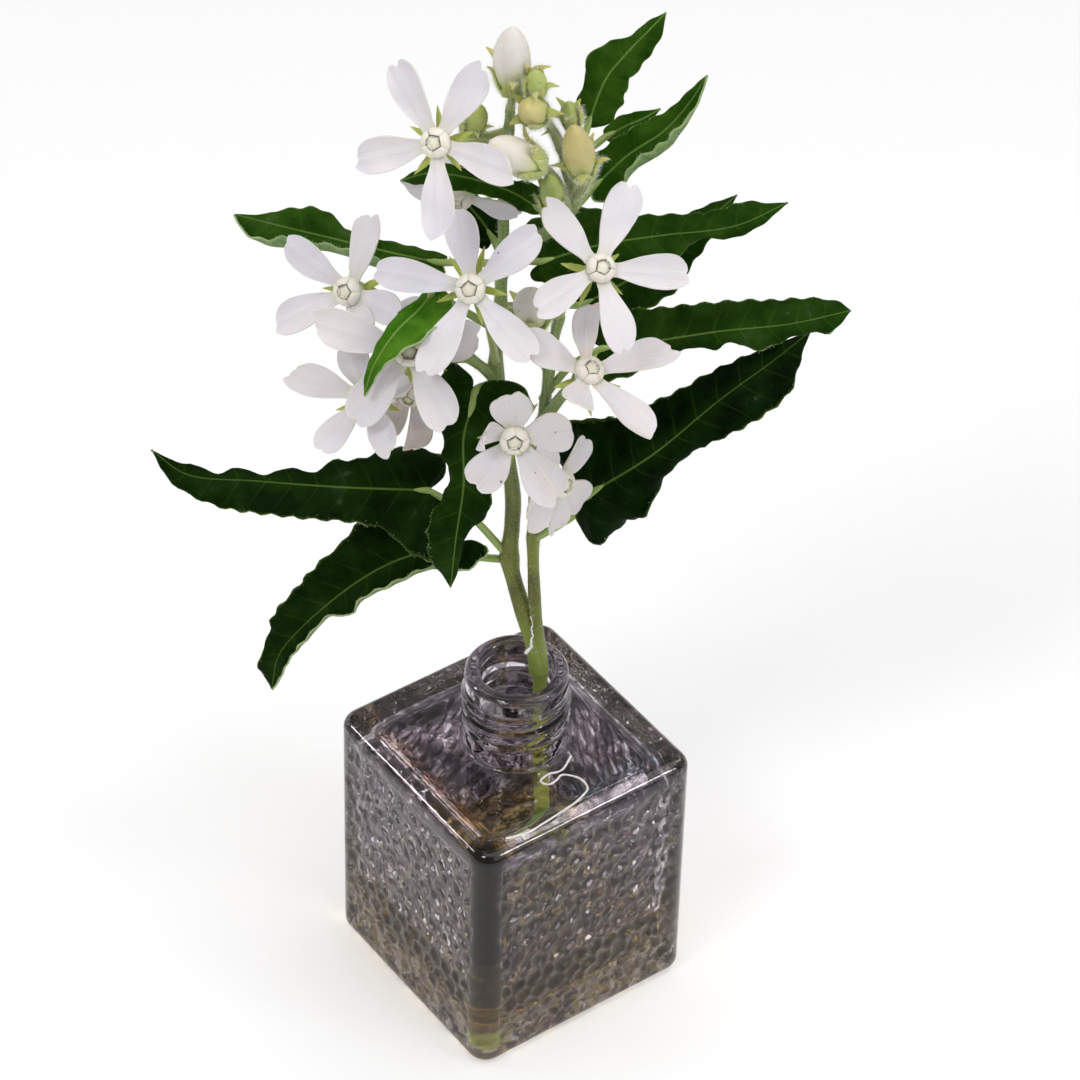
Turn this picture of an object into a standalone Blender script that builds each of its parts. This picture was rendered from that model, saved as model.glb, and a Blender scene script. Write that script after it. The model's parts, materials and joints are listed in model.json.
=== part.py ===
"""Tweedia in a square pressed-glass bottle: bottle, stems, leaves, open flowers and buds.

Metres, +Z up. The origin is the centre of the bottle's underside, and the bottle's walls
run along X and Y. The plant rests in the bottle, so every piece stays where it is made.
"""
import bpy
import bmesh
from functools import lru_cache
from math import atan2, ceil, cos, exp, pi, radians, sin, sqrt
from mathutils import Vector

MM = 0.001
UP = Vector((0.0, 0.0, 1.0))

# Bottle, in millimetres
BODY_WIDTH = 50.0
BODY_HEIGHT = 57.5
BODY_CORNER = 4.0
BODY_BOTTOM_EDGE = 2.5
BODY_TOP_EDGE = 2.5
WALL = 3.5
FLOOR_THICKNESS = 6.5
SHOULDER_THICKNESS = 4.0
CAVITY_EDGE = 3.0
CAVITY_CORNER = 3.5
NECK_HEIGHT = 18.0
NECK_RADIUS = 10.0
NECK_FILLET = 1.0
BORE_RADIUS = 7.0
LIP_ROUNDING = 1.2
LIP_CHAMFER = 0.6
THREAD_HEIGHT = 0.6
THREAD_PITCH = 3.6
THREAD_START = 3.6
THREAD_END = 14.2
THREAD_FADE = 1.5
NECK_SIDES = 32
CORNER_STEPS = 4
EDGE_STEPS = 3

# Plant, in millimetres
GAP = 0.35
LEAF_THICKNESS = 0.7
PETAL_THICKNESS = 0.7
PETAL_HALF_WIDTH = 3.1
COROLLA_MOUTH = 2.6
COROLLA_TUBE = 2.6
SEPAL_LENGTH = 5.5
SEPAL_HALF_WIDTH = 0.9
SEPAL_LIFT = 12.0
CALYX_RADIUS = 1.6
PEDICEL_RADIUS = 0.6
PETIOLE_RADIUS = 0.75
TUBE_SIDES = 8
BLADE_ROWS = 10
LOBE_SHARE = 0.22
WAVE_HEIGHT = 0.6

# A petal's half width as a share of the greatest, at shares of its length
PETAL_PROFILE = [(0.2, 0.72), (0.45, 0.98), (0.7, 1.0), (0.92, 0.62)]
SEPAL_PROFILE = [(0.5, 0.9)]
PETAL_RECURVE = 0.8

# The crown of scales: height, radius and how far its points stand out, ring by ring
CORONA_RINGS = [(0.7, 1.7, 0.0), (1.2, 2.2, 0.1), (2.2, 2.1, 0.3), (2.6, 1.2, 0.1)]

# A bud's radius as a share of the greatest, at shares of its length
BUD_PROFILE = [(0.0, 0.45), (0.12, 0.8), (0.35, 1.0), (0.6, 0.9), (0.85, 0.5), (0.97, 0.18)]

COLOURS = {
    "glass": ((0.62, 0.60, 0.63, 1.0), 0.05),
    "stem": ((0.16, 0.22, 0.05, 1.0), 0.55),
    "leaf": ((0.03, 0.11, 0.02, 1.0), 0.35),
    "petal": ((0.86, 0.84, 0.86, 1.0), 0.35),
    "corona": ((0.80, 0.76, 0.66, 1.0), 0.45),
    "calyx": ((0.40, 0.46, 0.10, 1.0), 0.55),
    "bud": ((0.78, 0.74, 0.56, 1.0), 0.45),
}

# Stems: the points that each runs through, and its radius at the first and last point
STEMS = {
    "main_stem": ([(6, -6, 8), (4, -3.5, 42), (3, -3.5, 71), (3, -3.5, 76), (0, -4, 116),
                   (1.5, -3.5, 132), (2, -4, 143.5), (2, -5.5, 156), (2.5, -7, 166)], 1.55, 0.9),
    "side_stem": ([(1.6, -3, 83), (0, -0.8, 91.5), (-1.9, 1.1, 103), (-1.6, 0.8, 112),
                   (-1.6, 0.8, 122), (-4, 3, 146.5), (-3, 3.5, 161.5), (-2, 4, 171.5),
                   (1.5, 1.5, 176), (5, -1.5, 180), (7.5, -3, 185.5)], 1.6, 1.1),
    "left_flower_stalk": ([(-4, 3, 147), (-9, 3, 153), (-13, 3, 158), (-17, 5, 161)], 0.9, 0.8),
    "right_flower_stalk": ([(1.5, -3.5, 138), (2, -9, 148), (1, -14, 154)], 1.2, 1.0),
    "upper_flower_stalk": ([(-2, 4, 171.5), (-1.5, 5, 179), (-1.5, 5, 189), (-1.5, 4, 200.5),
                            (-2, 3, 206.5)], 1.0, 0.8),
    "bud_cluster_stalk": ([(7.5, -3, 185.5), (6, -3, 193.5), (4, -3, 200.5)], 1.0, 0.8),
}

# Leaves: where the petiole leaves the stem, one point on it, where the blade begins, and
# then points along the midrib to the tip; the way the upper face looks; the half width of
# the base lobe and of the blade on the left and right of the midrib
LEAVES = {
    "leaf_low_left_long": ([(-2, 1.3, 104.5), (-9, 4, 116), (-16, 7, 123), (-29, 17, 123),
                            (-40, 28, 122), (-49, 36, 122), (-54, 41, 127)],
                           (-0.45, -0.55, 0.70), (13, 6.5), (9, 5)),
    "leaf_low_left_drooping": ([(-2, 1.6, 103), (-9, 5, 105), (-13, 7, 108), (-23, 11, 105),
                                (-32, 15, 98), (-40, 20, 86), (-42, 21, 76)],
                               (-0.45, -0.65, 0.60), (8, 6), (10, 6)),
    "leaf_front": ([(-6, 3, 146), (-10, 1, 148), (-12, -1, 147), (-16, -4, 143),
                    (-18, -7, 135), (-21, -9, 125), (-22, -9, 114)],
                   (-0.45, -0.65, 0.60), (10, 6), (8, 4)),
    "leaf_low_right": ([(0, -4, 111), (4, -11, 120), (6, -14, 127), (14, -21, 137),
                        (25, -25, 147), (35, -28, 154), (43, -28, 157)],
                       (-0.40, -0.55, 0.73), (12, 8), (12, 8)),
    "leaf_mid_right": ([(2, -3, 143), (5, -7, 152), (9, -11, 157), (17, -18, 160),
                        (26, -24, 162), (36, -30, 163), (45, -36, 166)],
                       (-0.30, -0.45, 0.84), (8, 7), (7, 5)),
    "leaf_upper_right": ([(-2, 4, 172), (1, 3.5, 171), (4, 1, 171), (14, -3, 173),
                          (24, -8, 174), (35, -14, 175), (44, -18, 179)],
                         (-0.30, -0.40, 0.86), (8, 6), (7, 4)),
    "leaf_upper_right_behind": ([(-3, 4, 162), (7, 4, 158), (14, 2, 156), (22, 0, 159),
                                 (29, -2, 163), (37, -4, 169), (43, -5, 173)],
                                (-0.50, -0.45, 0.74), (6, 5), (7, 6)),
    "leaf_top_right": ([(7, -3, 184), (8, -3, 193), (12, -0.5, 198), (15.5, -0.5, 206.5),
                        (19, -2, 212), (22, -3.5, 216), (25.5, -4, 219)],
                       (-0.60, -0.65, 0.45), (4, 5), (4, 5)),
    "leaf_top_right_small": ([(6, -3, 192.5), (12, 2, 189.5), (19, 3.5, 190.5),
                              (22.5, 2, 192.5), (25.5, 1, 193.5), (28.5, 0, 195)],
                             (-0.50, -0.55, 0.66), (2, 2), (2, 2)),
    "leaf_top_right_curled": ([(5.5, -2, 181), (9, -2, 183), (12.5, -2, 185.5),
                               (19, -3, 190.5), (25.5, -5, 194.5), (29.5, -7, 200.5),
                               (31.5, -8.5, 206)],
                              (-0.50, -0.55, 0.66), (4, 3.5), (4, 3)),
    "leaf_upper_left": ([(-2, 4, 171), (-5, 10, 169), (-8, 15, 167), (-14, 21, 168),
                         (-21, 27, 170), (-28, 35, 171), (-34, 42, 172)],
                        (-0.45, -0.50, 0.74), (5, 4.5), (5, 4.5)),
    "leaf_left_bright": ([(-4.5, 2, 158.5), (-13, 4, 167), (-20, 0.5, 175),
                          (-25.5, -3.5, 176.5), (-31.5, -5, 175), (-35.5, -4.5, 169.5),
                          (-37, -3.5, 162.5)],
                         (-0.35, -0.65, 0.67), (3, 4), (3, 4)),
    "leaf_under_buds": ([(4.5, -1, 180), (2.5, -2, 183.5), (1, -2.5, 186), (-5, -1.5, 192),
                         (-12, 0.5, 196.5), (-17.5, 4.5, 197.5), (-20.5, 9.5, 194)],
                        (-0.40, -0.50, 0.77), (3, 3.5), (3, 3.5)),
    "leaf_behind_middle": ([(-2, 4, 171), (0, 8, 170), (0, 10, 172), (-1, 12, 175),
                            (-3, 14, 179), (-4, 15, 184)],
                           (-0.60, -0.60, 0.53), (4, 4), (4, 4)),
}

# Open flowers: centre, the compass angle and height angle that the flower faces, where its
# pedicel leaves the stalk, and each petal's turn about the centre, length and lift
FLOWERS = {
    "flower_upper_left": ((-23, -5, 212), (-147, 35), (-1.5, 4.5, 196),
                          [(134, 15, 7), (206, 14, 7), (286, 15.5, 7), (355, 14.5, 11),
                           (430, 15, 10)]),
    "flower_upper_behind": ((-10.5, 6, 189), (-143, -20), (-1.5, 5, 187),
                            [(114, 10, -25), (191, 11, -3), (258, 12.5, 8), (336, 11, 0),
                             (410, 10, -30)]),
    "flower_middle": ((-19.5, -10.5, 183), (-136, 33), (-4, 3, 150),
                      [(103, 14, 15), (175, 16.5, 11), (251, 16.5, 11), (319, 16, 12),
                       (404, 15.5, 12)]),
    "flower_right": ((0, -21, 185.5), (-99, 44), (2.5, -6.5, 164),
                     [(119, 15, 16), (195, 15, 15), (269, 15, 14), (339, 15.5, 13),
                      (414, 15.5, 12)]),
    "flower_right_low": ((-5.5, -26, 168.5), (-81, 57), (1, -14, 153.5),
                         [(59, 13, 12), (133, 14, 20), (205, 14, 28), (276, 15.5, 14),
                          (344, 16, 18)]),
    "flower_left": ((-30.5, 10.5, 173.5), (-157, 30), (-16.5, 4.5, 160.5),
                    [(161, 14, 17), (222, 14.5, 17), (313, 9.5, 15), (361, 13.5, 26),
                     (444, 14.5, 13)]),
    "flower_left_low": ((-32, 4, 154.5), (-160, 41), (-16, 4.5, 160),
                        [(123, 10, 29), (183, 14, 19), (258, 12, 24), (331, 13, 23),
                         (415, 9.5, 5)]),
    "flower_under_leaf": ((-28.2, -4.7, 169.1), (-130, 38), (-13, 3, 158),
                          [(92, 12, -36), (166, 17, 8), (232, 16.5, -14), (304, 14.5, 8),
                           (374, 13, -20)]),
    "flower_fading": ((-17.5, 10.5, 144), (-142, -5), (-10, 3, 154),
                      [(93, 11.5, 12), (171, 7, 41), (240, 10, 17), (300, 11.5, 39),
                       (378, 10.5, 31)]),
    "flower_low": ((-16.5, -20, 154.5), (-124, 14), (1, -4, 128),
                   [(157, 9, 24), (231, 11, 17), (305, 13, 21), (377, 10.5, 19),
                    (453, 10.5, 25)]),
    "flower_low_behind": ((-3, -15.5, 134.5), (-77, 12), (0.5, -4, 121),
                          [(112, 10.5, 2), (184, 11, 13), (251, 9, 6), (307, 10, 0),
                           (392, 9.5, 8)]),
}

# Buds: base and tip of the bud itself, its greatest radius, and where its pedicel begins
BUDS = {
    "bud_top_large": ((-3, 1, 212), (-4, 0, 225), 3.3, (-2, 3, 206)),
    "bud_top_small": ((-1, -4, 213), (-2, -4.5, 218.5), 1.7, (4, -3, 200)),
    "bud_yellowish": ((-1, -6.5, 209), (-6.5, -5, 214.5), 2.4, (4.5, -3, 198)),
    "bud_cream_left": ((-4.5, -8, 201.5), (-13, -6.5, 209), 2.9, (7, -3, 183.5)),
    "bud_cream_right": ((4, -10.5, 198), (0, -12.5, 210.5), 2.8, (7.5, -3, 185)),
    "bud_green_low": ((-1, -8, 191), (-3, -10, 200), 2.0, (5.5, -1.5, 180.5)),
    "bud_green_middle": ((6, -4.5, 203.5), (4, -5.5, 209.5), 1.7, (5.5, -3, 194)),
    "bud_green_left": ((-9, 5, 202), (-9, 3, 210), 2.4, (-1.5, 4, 200)),
    "bud_round_white": ((-2, -5, 164), (-4, -7, 173), 3.3, (2, -4, 151)),
}


def clear_scene():
    for thing in list(bpy.data.objects):
        bpy.data.objects.remove(thing, do_unlink=True)


def make_material(name):
    colour, roughness = COLOURS[name]
    material = bpy.data.materials.new(name)
    material.use_nodes = True
    shader = material.node_tree.nodes["Principled BSDF"]
    shader.inputs["Base Color"].default_value = colour
    shader.inputs["Roughness"].default_value = roughness
    shader.inputs["Metallic"].default_value = 0.0
    return material


def add_object(name, mesh_builder, material):
    """Turn a bmesh drawn in millimetres into a named object in metres."""
    bmesh.ops.scale(mesh_builder, vec=(MM, MM, MM), verts=mesh_builder.verts)
    bmesh.ops.recalc_face_normals(mesh_builder, faces=mesh_builder.faces)
    mesh = bpy.data.meshes.new(name)
    mesh_builder.to_mesh(mesh)
    mesh_builder.free()
    mesh.shade_smooth()
    mesh.set_sharp_from_angle(angle=radians(40))
    mesh.materials.append(material)
    thing = bpy.data.objects.new(name, mesh)
    bpy.context.scene.collection.objects.link(thing)
    return thing


def bridge(bm, ring_a, ring_b):
    """Join two rings of equal length with quads."""
    count = len(ring_a)
    for i in range(count):
        j = (i + 1) % count
        bm.faces.new((ring_a[i], ring_a[j], ring_b[j], ring_b[i]))


def bridge_unequal(bm, ring_a, ring_b):
    """Join two rings whose point counts differ."""
    edges = []
    for ring in (ring_a, ring_b):
        for i in range(len(ring)):
            pair = (ring[i - 1], ring[i])
            edge = bm.edges.get(pair)
            if edge is None:
                edge = bm.edges.new(pair)
            edges.append(edge)
    bmesh.ops.bridge_loops(bm, edges=edges)


def smooth_path(points, count):
    """Evenly numbered samples of a Catmull-Rom curve through the points."""
    knots = [Vector(p) for p in points]
    knots = [knots[0] * 2 - knots[1]] + knots + [knots[-1] * 2 - knots[-2]]
    spans = len(knots) - 3
    samples = []
    for i in range(count):
        along = spans * i / (count - 1)
        k = min(int(along), spans - 1)
        t = along - k
        a, b, c, d = knots[k:k + 4]
        samples.append(0.5 * ((2 * b) + (c - a) * t + (2 * a - 5 * b + 4 * c - d) * t * t
                              + (3 * b - a - 3 * c + d) * t * t * t))
    return samples


def path_frames(points):
    """A direction and two side vectors at each point, turned as little as possible."""
    frames = []
    side = None
    for i, point in enumerate(points):
        ahead = points[min(i + 1, len(points) - 1)] - points[max(i - 1, 0)]
        ahead.normalize()
        if side is None:
            side = ahead.cross(Vector((0.3, 1.0, 0.2))).normalized()
        side = (side - ahead * side.dot(ahead)).normalized()
        frames.append((ahead, side, ahead.cross(side)))
    return frames


def add_ring(bm, centre, side_a, side_b, radius):
    ring = []
    for i in range(TUBE_SIDES):
        angle = 2 * pi * i / TUBE_SIDES
        ring.append(bm.verts.new(centre + (side_a * cos(angle) + side_b * sin(angle)) * radius))
    return ring


def add_tube(bm, points, radii):
    """A tube along the points, open at both ends; returns its first and last ring."""
    rings = []
    for point, radius, (ahead, side_a, side_b) in zip(points, radii, path_frames(points)):
        rings.append(add_ring(bm, point, side_a, side_b, radius))
    for ring_a, ring_b in zip(rings, rings[1:]):
        bridge(bm, ring_a, ring_b)
    return rings[0], rings[-1]


@lru_cache(maxsize=None)
def stem_samples(name):
    """Points along a stem's middle with the stem's radius at each."""
    points, first_radius, last_radius = STEMS[name]
    path = smooth_path(points, 20 * len(points))
    last = len(path) - 1
    return [(p, first_radius + (last_radius - first_radius) * i / last)
            for i, p in enumerate(path)]


def clear_share(path, radius, stems=tuple(STEMS)):
    """How far along a stalk, from 0 to 1, it first stands clear of the stems."""
    samples = [sample for name in stems for sample in stem_samples(name)]
    last_touch = 0
    for i, point in enumerate(path[:len(path) * 2 // 3]):
        if any((point - p).length < r + radius + GAP for p, r in samples):
            last_touch = i + 1
    return last_touch / (len(path) - 1)


def resample(path, start, count):
    """Points evenly numbered from a share of the path to its end."""
    last = len(path) - 1
    points = []
    for i in range(count):
        place = last * (start + (1 - start) * i / (count - 1))
        k = min(int(place), last - 1)
        points.append(path[k].lerp(path[k + 1], place - k))
    return points


# ---------------------------------------------------------------- bottle

def square_ring(bm, half, corner, z):
    """A rounded square seen from above."""
    ring = []
    for quarter in range(4):
        start = quarter * pi / 2
        middle = start + pi / 4
        centre = Vector((cos(middle), sin(middle), 0)) * (half - corner) * sqrt(2)
        for i in range(CORNER_STEPS + 1):
            angle = start + (pi / 2) * i / CORNER_STEPS
            ring.append(bm.verts.new((centre.x + corner * cos(angle),
                                      centre.y + corner * sin(angle), z)))
    return ring


def circle_ring(bm, z, radius):
    """A ring on the neck; radius may be a function of the angle."""
    ring = []
    for i in range(NECK_SIDES):
        angle = 2 * pi * i / NECK_SIDES
        r = radius(angle) if callable(radius) else radius
        ring.append(bm.verts.new((r * cos(angle), r * sin(angle), z)))
    return ring


def thread_radius(height):
    """The neck's outer radius at a height above the shoulder: a helical ridge on a cylinder."""
    def radius(angle):
        turn = (height - THREAD_PITCH * angle / (2 * pi)) / THREAD_PITCH
        ridge = 0.5 + 0.5 * cos(2 * pi * turn)
        fade_in = min(max((height - THREAD_START) / THREAD_FADE, 0.0), 1.0)
        fade_out = min(max((THREAD_END - height) / THREAD_FADE, 0.0), 1.0)
        return NECK_RADIUS + THREAD_HEIGHT * ridge * ridge * fade_in * fade_out
    return radius


def edge_arc(edge):
    """Inset and height of the points on a rounded edge, from its face to its side."""
    angles = [(pi / 2) * i / EDGE_STEPS for i in range(EDGE_STEPS + 1)]
    return [(edge * (1 - sin(a)), edge * (1 - cos(a))) for a in angles]


def body_rings(bm):
    """The outside of the bottle's body, from its underside up to its shoulder."""
    half = BODY_WIDTH / 2
    rings = []
    for inset, height in edge_arc(BODY_BOTTOM_EDGE):
        rings.append(square_ring(bm, half - inset, BODY_CORNER - inset, height))
    for inset, height in reversed(edge_arc(BODY_TOP_EDGE)):
        rings.append(square_ring(bm, half - inset, BODY_CORNER - inset, BODY_HEIGHT - height))
    return rings


def neck_rings(bm, ceiling):
    """The neck's outside, lip and bore, from the shoulder over the rim to the cavity."""
    top = BODY_HEIGHT + NECK_HEIGHT
    foot = NECK_FILLET / 2
    rings = [circle_ring(bm, BODY_HEIGHT, NECK_RADIUS + NECK_FILLET),
             circle_ring(bm, BODY_HEIGHT + foot, NECK_RADIUS + 0.3 * NECK_FILLET)]
    straight = NECK_HEIGHT - LIP_ROUNDING
    steps = ceil(straight * 4 / THREAD_PITCH)
    for i in range(1, steps + 1):
        height = foot + (straight - foot) * i / steps
        rings.append(circle_ring(bm, BODY_HEIGHT + height, thread_radius(height)))
    bevel = 0.3 * LIP_ROUNDING
    rings.append(circle_ring(bm, top - bevel, NECK_RADIUS - bevel))
    rings.append(circle_ring(bm, top, NECK_RADIUS - LIP_ROUNDING))
    rings.append(circle_ring(bm, top, BORE_RADIUS + LIP_CHAMFER))
    rings.append(circle_ring(bm, top - LIP_CHAMFER, BORE_RADIUS))
    rings.append(circle_ring(bm, ceiling + NECK_FILLET, BORE_RADIUS))
    rings.append(circle_ring(bm, ceiling, BORE_RADIUS + NECK_FILLET))
    return rings


def cavity_rings(bm, ceiling):
    """The hollow's wall, from its ceiling down to its floor."""
    half = BODY_WIDTH / 2 - WALL
    corner = CAVITY_CORNER
    rings = []
    for inset, drop in edge_arc(CAVITY_EDGE):
        rings.append(square_ring(bm, half - inset, corner - inset, ceiling - drop))
    for inset, climb in reversed(edge_arc(CAVITY_EDGE)):
        rings.append(square_ring(bm, half - inset, corner - inset, FLOOR_THICKNESS + climb))
    return rings


def make_bottle(material):
    bm = bmesh.new()
    ceiling = BODY_HEIGHT - SHOULDER_THICKNESS
    body = body_rings(bm)
    neck = neck_rings(bm, ceiling)
    cavity = cavity_rings(bm, ceiling)
    for rings in (body, neck, cavity):
        for ring_a, ring_b in zip(rings, rings[1:]):
            bridge(bm, ring_a, ring_b)
    bm.faces.new(reversed(body[0]))
    bridge_unequal(bm, body[-1], neck[0])
    bridge_unequal(bm, neck[-1], cavity[0])
    bm.faces.new(cavity[-1])
    bmesh.ops.triangulate(bm, faces=bm.faces)
    return add_object("bottle", bm, material)


# ---------------------------------------------------------------- stems and leaves

def make_stem(name, points, first_radius, last_radius, material):
    count = max(5, 2 * len(points))
    order = list(STEMS)
    parents = tuple(order[:order.index(name)])
    path = smooth_path(points, 20 * count)
    path = resample(path, clear_share(path, first_radius, parents), count)
    radii = [first_radius + (last_radius - first_radius) * i / (count - 1) for i in range(count)]
    bm = bmesh.new()
    first, last = add_tube(bm, path, radii)
    bm.faces.new(reversed(first))
    bm.faces.new(last)
    return add_object(name, bm, material)


def blade_margin(along, lobe, body, length):
    """Place along the midrib and half width of the margin, from the junction to the tip."""
    if along < LOBE_SHARE:
        turn = pi * along / LOBE_SHARE
        return -0.01 * length * lobe * sin(turn), lobe * 0.5 * (1 - cos(turn))
    t = (along - LOBE_SHARE) / (1 - LOBE_SHARE)
    width = body * (1 - t ** 1.9) + (lobe - body) * exp(-(t / 0.14) ** 2)
    return length * t, width * (1 - t ** 6)


def midrib_frame(midrib, face, share):
    """Point, direction, left side and upward normal of a blade at a share of its midrib."""
    last = len(midrib) - 1
    place = min(max(share, 0.0), 1.0) * last
    k = min(int(place), last - 1)
    point = midrib[k].lerp(midrib[k + 1], place - k)
    ahead = (midrib[min(k + 2, last)] - midrib[max(k - 1, 0)]).normalized()
    left_way = face.cross(ahead).normalized()
    return point, ahead, left_way, ahead.cross(left_way)


def petiole_sections(bm, points, midrib, face):
    """Rings along the petiole, numbered so that they join the blade's sections."""
    path = smooth_path(points, 61)
    path = resample(path, clear_share(path, PETIOLE_RADIUS), 4)
    sections = []
    for point, (ahead, _, _) in zip(path, path_frames(path + midrib[1:3])):
        left_way = face.cross(ahead).normalized()
        normal = ahead.cross(left_way)
        ring = []
        for i in range(TUBE_SIDES):
            angle = 2 * pi * i / TUBE_SIDES
            around = left_way * cos(angle) + normal * sin(angle)
            ring.append(bm.verts.new(point + around * PETIOLE_RADIUS))
        sections.append(ring)
    return sections


def blade_sections(bm, midrib, face, left, right):
    """Lens-shaped sections across the blade, from its base lobes to near its tip."""
    length = sum((b - a).length for a, b in zip(midrib, midrib[1:]))
    sections = []
    for row in range(1, BLADE_ROWS):
        along = row / BLADE_ROWS
        middle_share = max(0.012 * row, (along - 0.16) / 0.84)
        centre, _, _, normal = midrib_frame(midrib, face, middle_share)
        edge_points = []
        for way, (lobe, body) in ((1, left), (-1, right)):
            back, width = blade_margin(along, lobe, body, length)
            base, ahead, left_way, base_up = midrib_frame(midrib, face, back / length)
            rise = 0.10 * width + WAVE_HEIGHT * sin(along * 19 + way)
            edge_points.append(base + ahead * min(back, 0.0) + left_way * way * width
                               + base_up * rise)
        edge_l, edge_r = edge_points
        half_l = (centre + edge_l) / 2
        half_r = (centre + edge_r) / 2
        rib = normal * LEAF_THICKNESS * 0.5
        skin = normal * LEAF_THICKNESS * 0.3
        ring = [edge_l, half_l + skin, centre + rib, half_r + skin,
                edge_r, half_r - skin, centre - rib * 1.6, half_l - skin]
        sections.append([bm.verts.new(v) for v in ring])
    return sections


def make_leaf(name, points, face, left, right, material):
    face = Vector(face).normalized()
    midrib = smooth_path(points[2:], 31)
    bm = bmesh.new()
    sections = petiole_sections(bm, points[:3], midrib, face)
    sections += blade_sections(bm, midrib, face, left, right)
    for ring_a, ring_b in zip(sections, sections[1:]):
        bridge(bm, ring_a, ring_b)
    bm.faces.new(sections[0])
    tip = bm.verts.new(midrib[-1])
    last = sections[-1]
    for i in range(TUBE_SIDES):
        bm.faces.new((last[i], last[(i + 1) % TUBE_SIDES], tip))
    bmesh.ops.triangulate(bm, faces=bm.faces)
    return add_object(name, bm, material)


# ---------------------------------------------------------------- flowers and buds

def facing_frame(compass, height):
    """Right, up and outward vectors of a flower that faces this way."""
    a = radians(compass)
    e = radians(height)
    outward = Vector((cos(a) * cos(e), sin(a) * cos(e), sin(e)))
    right = UP.cross(outward).normalized()
    return right, outward.cross(right), outward


def add_whorl(bm, frame, centre, lobes, mouth, half_width, thickness, profile, recurve):
    """A star of lobes round a hub as one closed skin, open below; returns its lower ring."""
    right, up, outward = frame
    turns = [radians(turn) for turn, _, _ in lobes]
    count = len(lobes)

    def place(angle, radius, height):
        return centre + (right * cos(angle) + up * sin(angle)) * radius + outward * height

    notches = []
    for i in range(count):
        following = turns[(i + 1) % count] + (2 * pi if i == count - 1 else 0)
        notches.append(bm.verts.new(place((turns[i] + following) / 2, mouth * 0.92, 0.0)))
    tops = [bm.verts.new(place(a, mouth, thickness / 2)) for a in turns]
    bottoms = [bm.verts.new(place(a, mouth, -thickness / 2)) for a in turns]
    hub = bm.verts.new(place(0, 0, -0.2))
    for i, (_, length, lift) in enumerate(lobes):
        before, after = notches[i - 1], notches[i]
        angle = turns[i]
        bm.faces.new((hub, before, tops[i]))
        bm.faces.new((hub, tops[i], after))
        climb = radians(lift)
        previous = (before, tops[i], after, bottoms[i])
        for along, share in profile:
            reach = (length - mouth) * along
            radius = mouth + reach * cos(climb)
            height = reach * sin(climb) - recurve * along * along
            side = half_width * share
            ahead = place(angle, radius, height)
            sideways = right * -sin(angle) + up * cos(angle)
            row = (bm.verts.new(ahead - sideways * side),
                   bm.verts.new(ahead + outward * thickness / 2),
                   bm.verts.new(ahead + sideways * side),
                   bm.verts.new(ahead - outward * thickness / 2))
            for k in range(4):
                n = (k + 1) % 4
                bm.faces.new((previous[k], previous[n], row[n], row[k]))
            previous = row
        reach = length - mouth
        tip = bm.verts.new(place(angle, mouth + reach * cos(climb), reach * sin(climb) - recurve))
        for k in range(4):
            bm.faces.new((previous[k], previous[(k + 1) % 4], tip))
    lower = []
    for i in range(count):
        lower.append(bottoms[i])
        lower.append(notches[i])
    return lower


def make_corolla(name, centre, frame, petals, material):
    """Five petals joined at the base into a short closed tube."""
    outward = frame[2]
    bm = bmesh.new()
    lower = add_whorl(bm, frame, centre, petals, COROLLA_MOUTH, PETAL_HALF_WIDTH,
                      PETAL_THICKNESS, PETAL_PROFILE, PETAL_RECURVE)
    foot = []
    for vert in lower:
        away = vert.co - centre
        away = away - outward * away.dot(outward)
        foot.append(bm.verts.new(centre + away.normalized() * COROLLA_MOUTH / 2
                                 - outward * COROLLA_TUBE))
    bridge(bm, lower, foot)
    bm.faces.new(foot)
    bmesh.ops.triangulate(bm, faces=bm.faces)
    return add_object(name, bm, material)


def make_corona(name, centre, frame, spin, material):
    """The crown of five fleshy scales round the flower's middle."""
    right, up, outward = frame
    bm = bmesh.new()
    rings = []
    for height, radius, star in CORONA_RINGS:
        ring = []
        for i in range(10):
            angle = radians(spin) + 2 * pi * i / 10
            r = radius + (star if i % 2 == 0 else -star)
            ring.append(bm.verts.new(centre + (right * cos(angle) + up * sin(angle)) * r
                                     + outward * height))
        rings.append(ring)
    for lower, upper in zip(rings, rings[1:]):
        bridge(bm, lower, upper)
    bm.faces.new(rings[0])
    bm.faces.new(rings[-1])
    bmesh.ops.triangulate(bm, faces=bm.faces)
    return add_object(name, bm, material)


def stalk_path(start, end, outward, count):
    """A pedicel that leaves its stem upwards and meets the flower from behind."""
    start = Vector(start)
    reach = (end - start).length
    first = start + (end - start) * 0.3 + UP * reach * 0.08
    second = end - outward * min(reach * 0.35, 6.0)

    def point(t):
        s = 1 - t
        return start * s ** 3 + first * 3 * s * s * t + second * 3 * s * t * t + end * t ** 3

    clear = clear_share([point(i / 60) for i in range(61)], PEDICEL_RADIUS)
    return [point(clear + (1 - clear) * i / (count - 1)) for i in range(count)]


def add_pedicel(bm, frame, hub, neck, lower, start):
    """Closes a whorl from behind with the pedicel that carries it."""
    right, up, outward = frame
    path = stalk_path(start, hub - outward * neck, outward, 6)
    rings = []
    for point, (ahead, _, _) in zip(path, path_frames(path)):
        side_a = (right - ahead * right.dot(ahead)).normalized()
        side_b = ahead.cross(side_a)
        ring = []
        for vert in lower:
            away = vert.co - hub
            angle = atan2(away.dot(up), away.dot(right))
            ring.append(bm.verts.new(point + (side_a * cos(angle) + side_b * sin(angle))
                                     * PEDICEL_RADIUS))
        rings.append(ring)
    for ring_a, ring_b in zip(rings, rings[1:]):
        bridge(bm, ring_a, ring_b)
    bridge(bm, rings[-1], lower)
    bm.faces.new(rings[0])
    bmesh.ops.triangulate(bm, faces=bm.faces)


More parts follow.
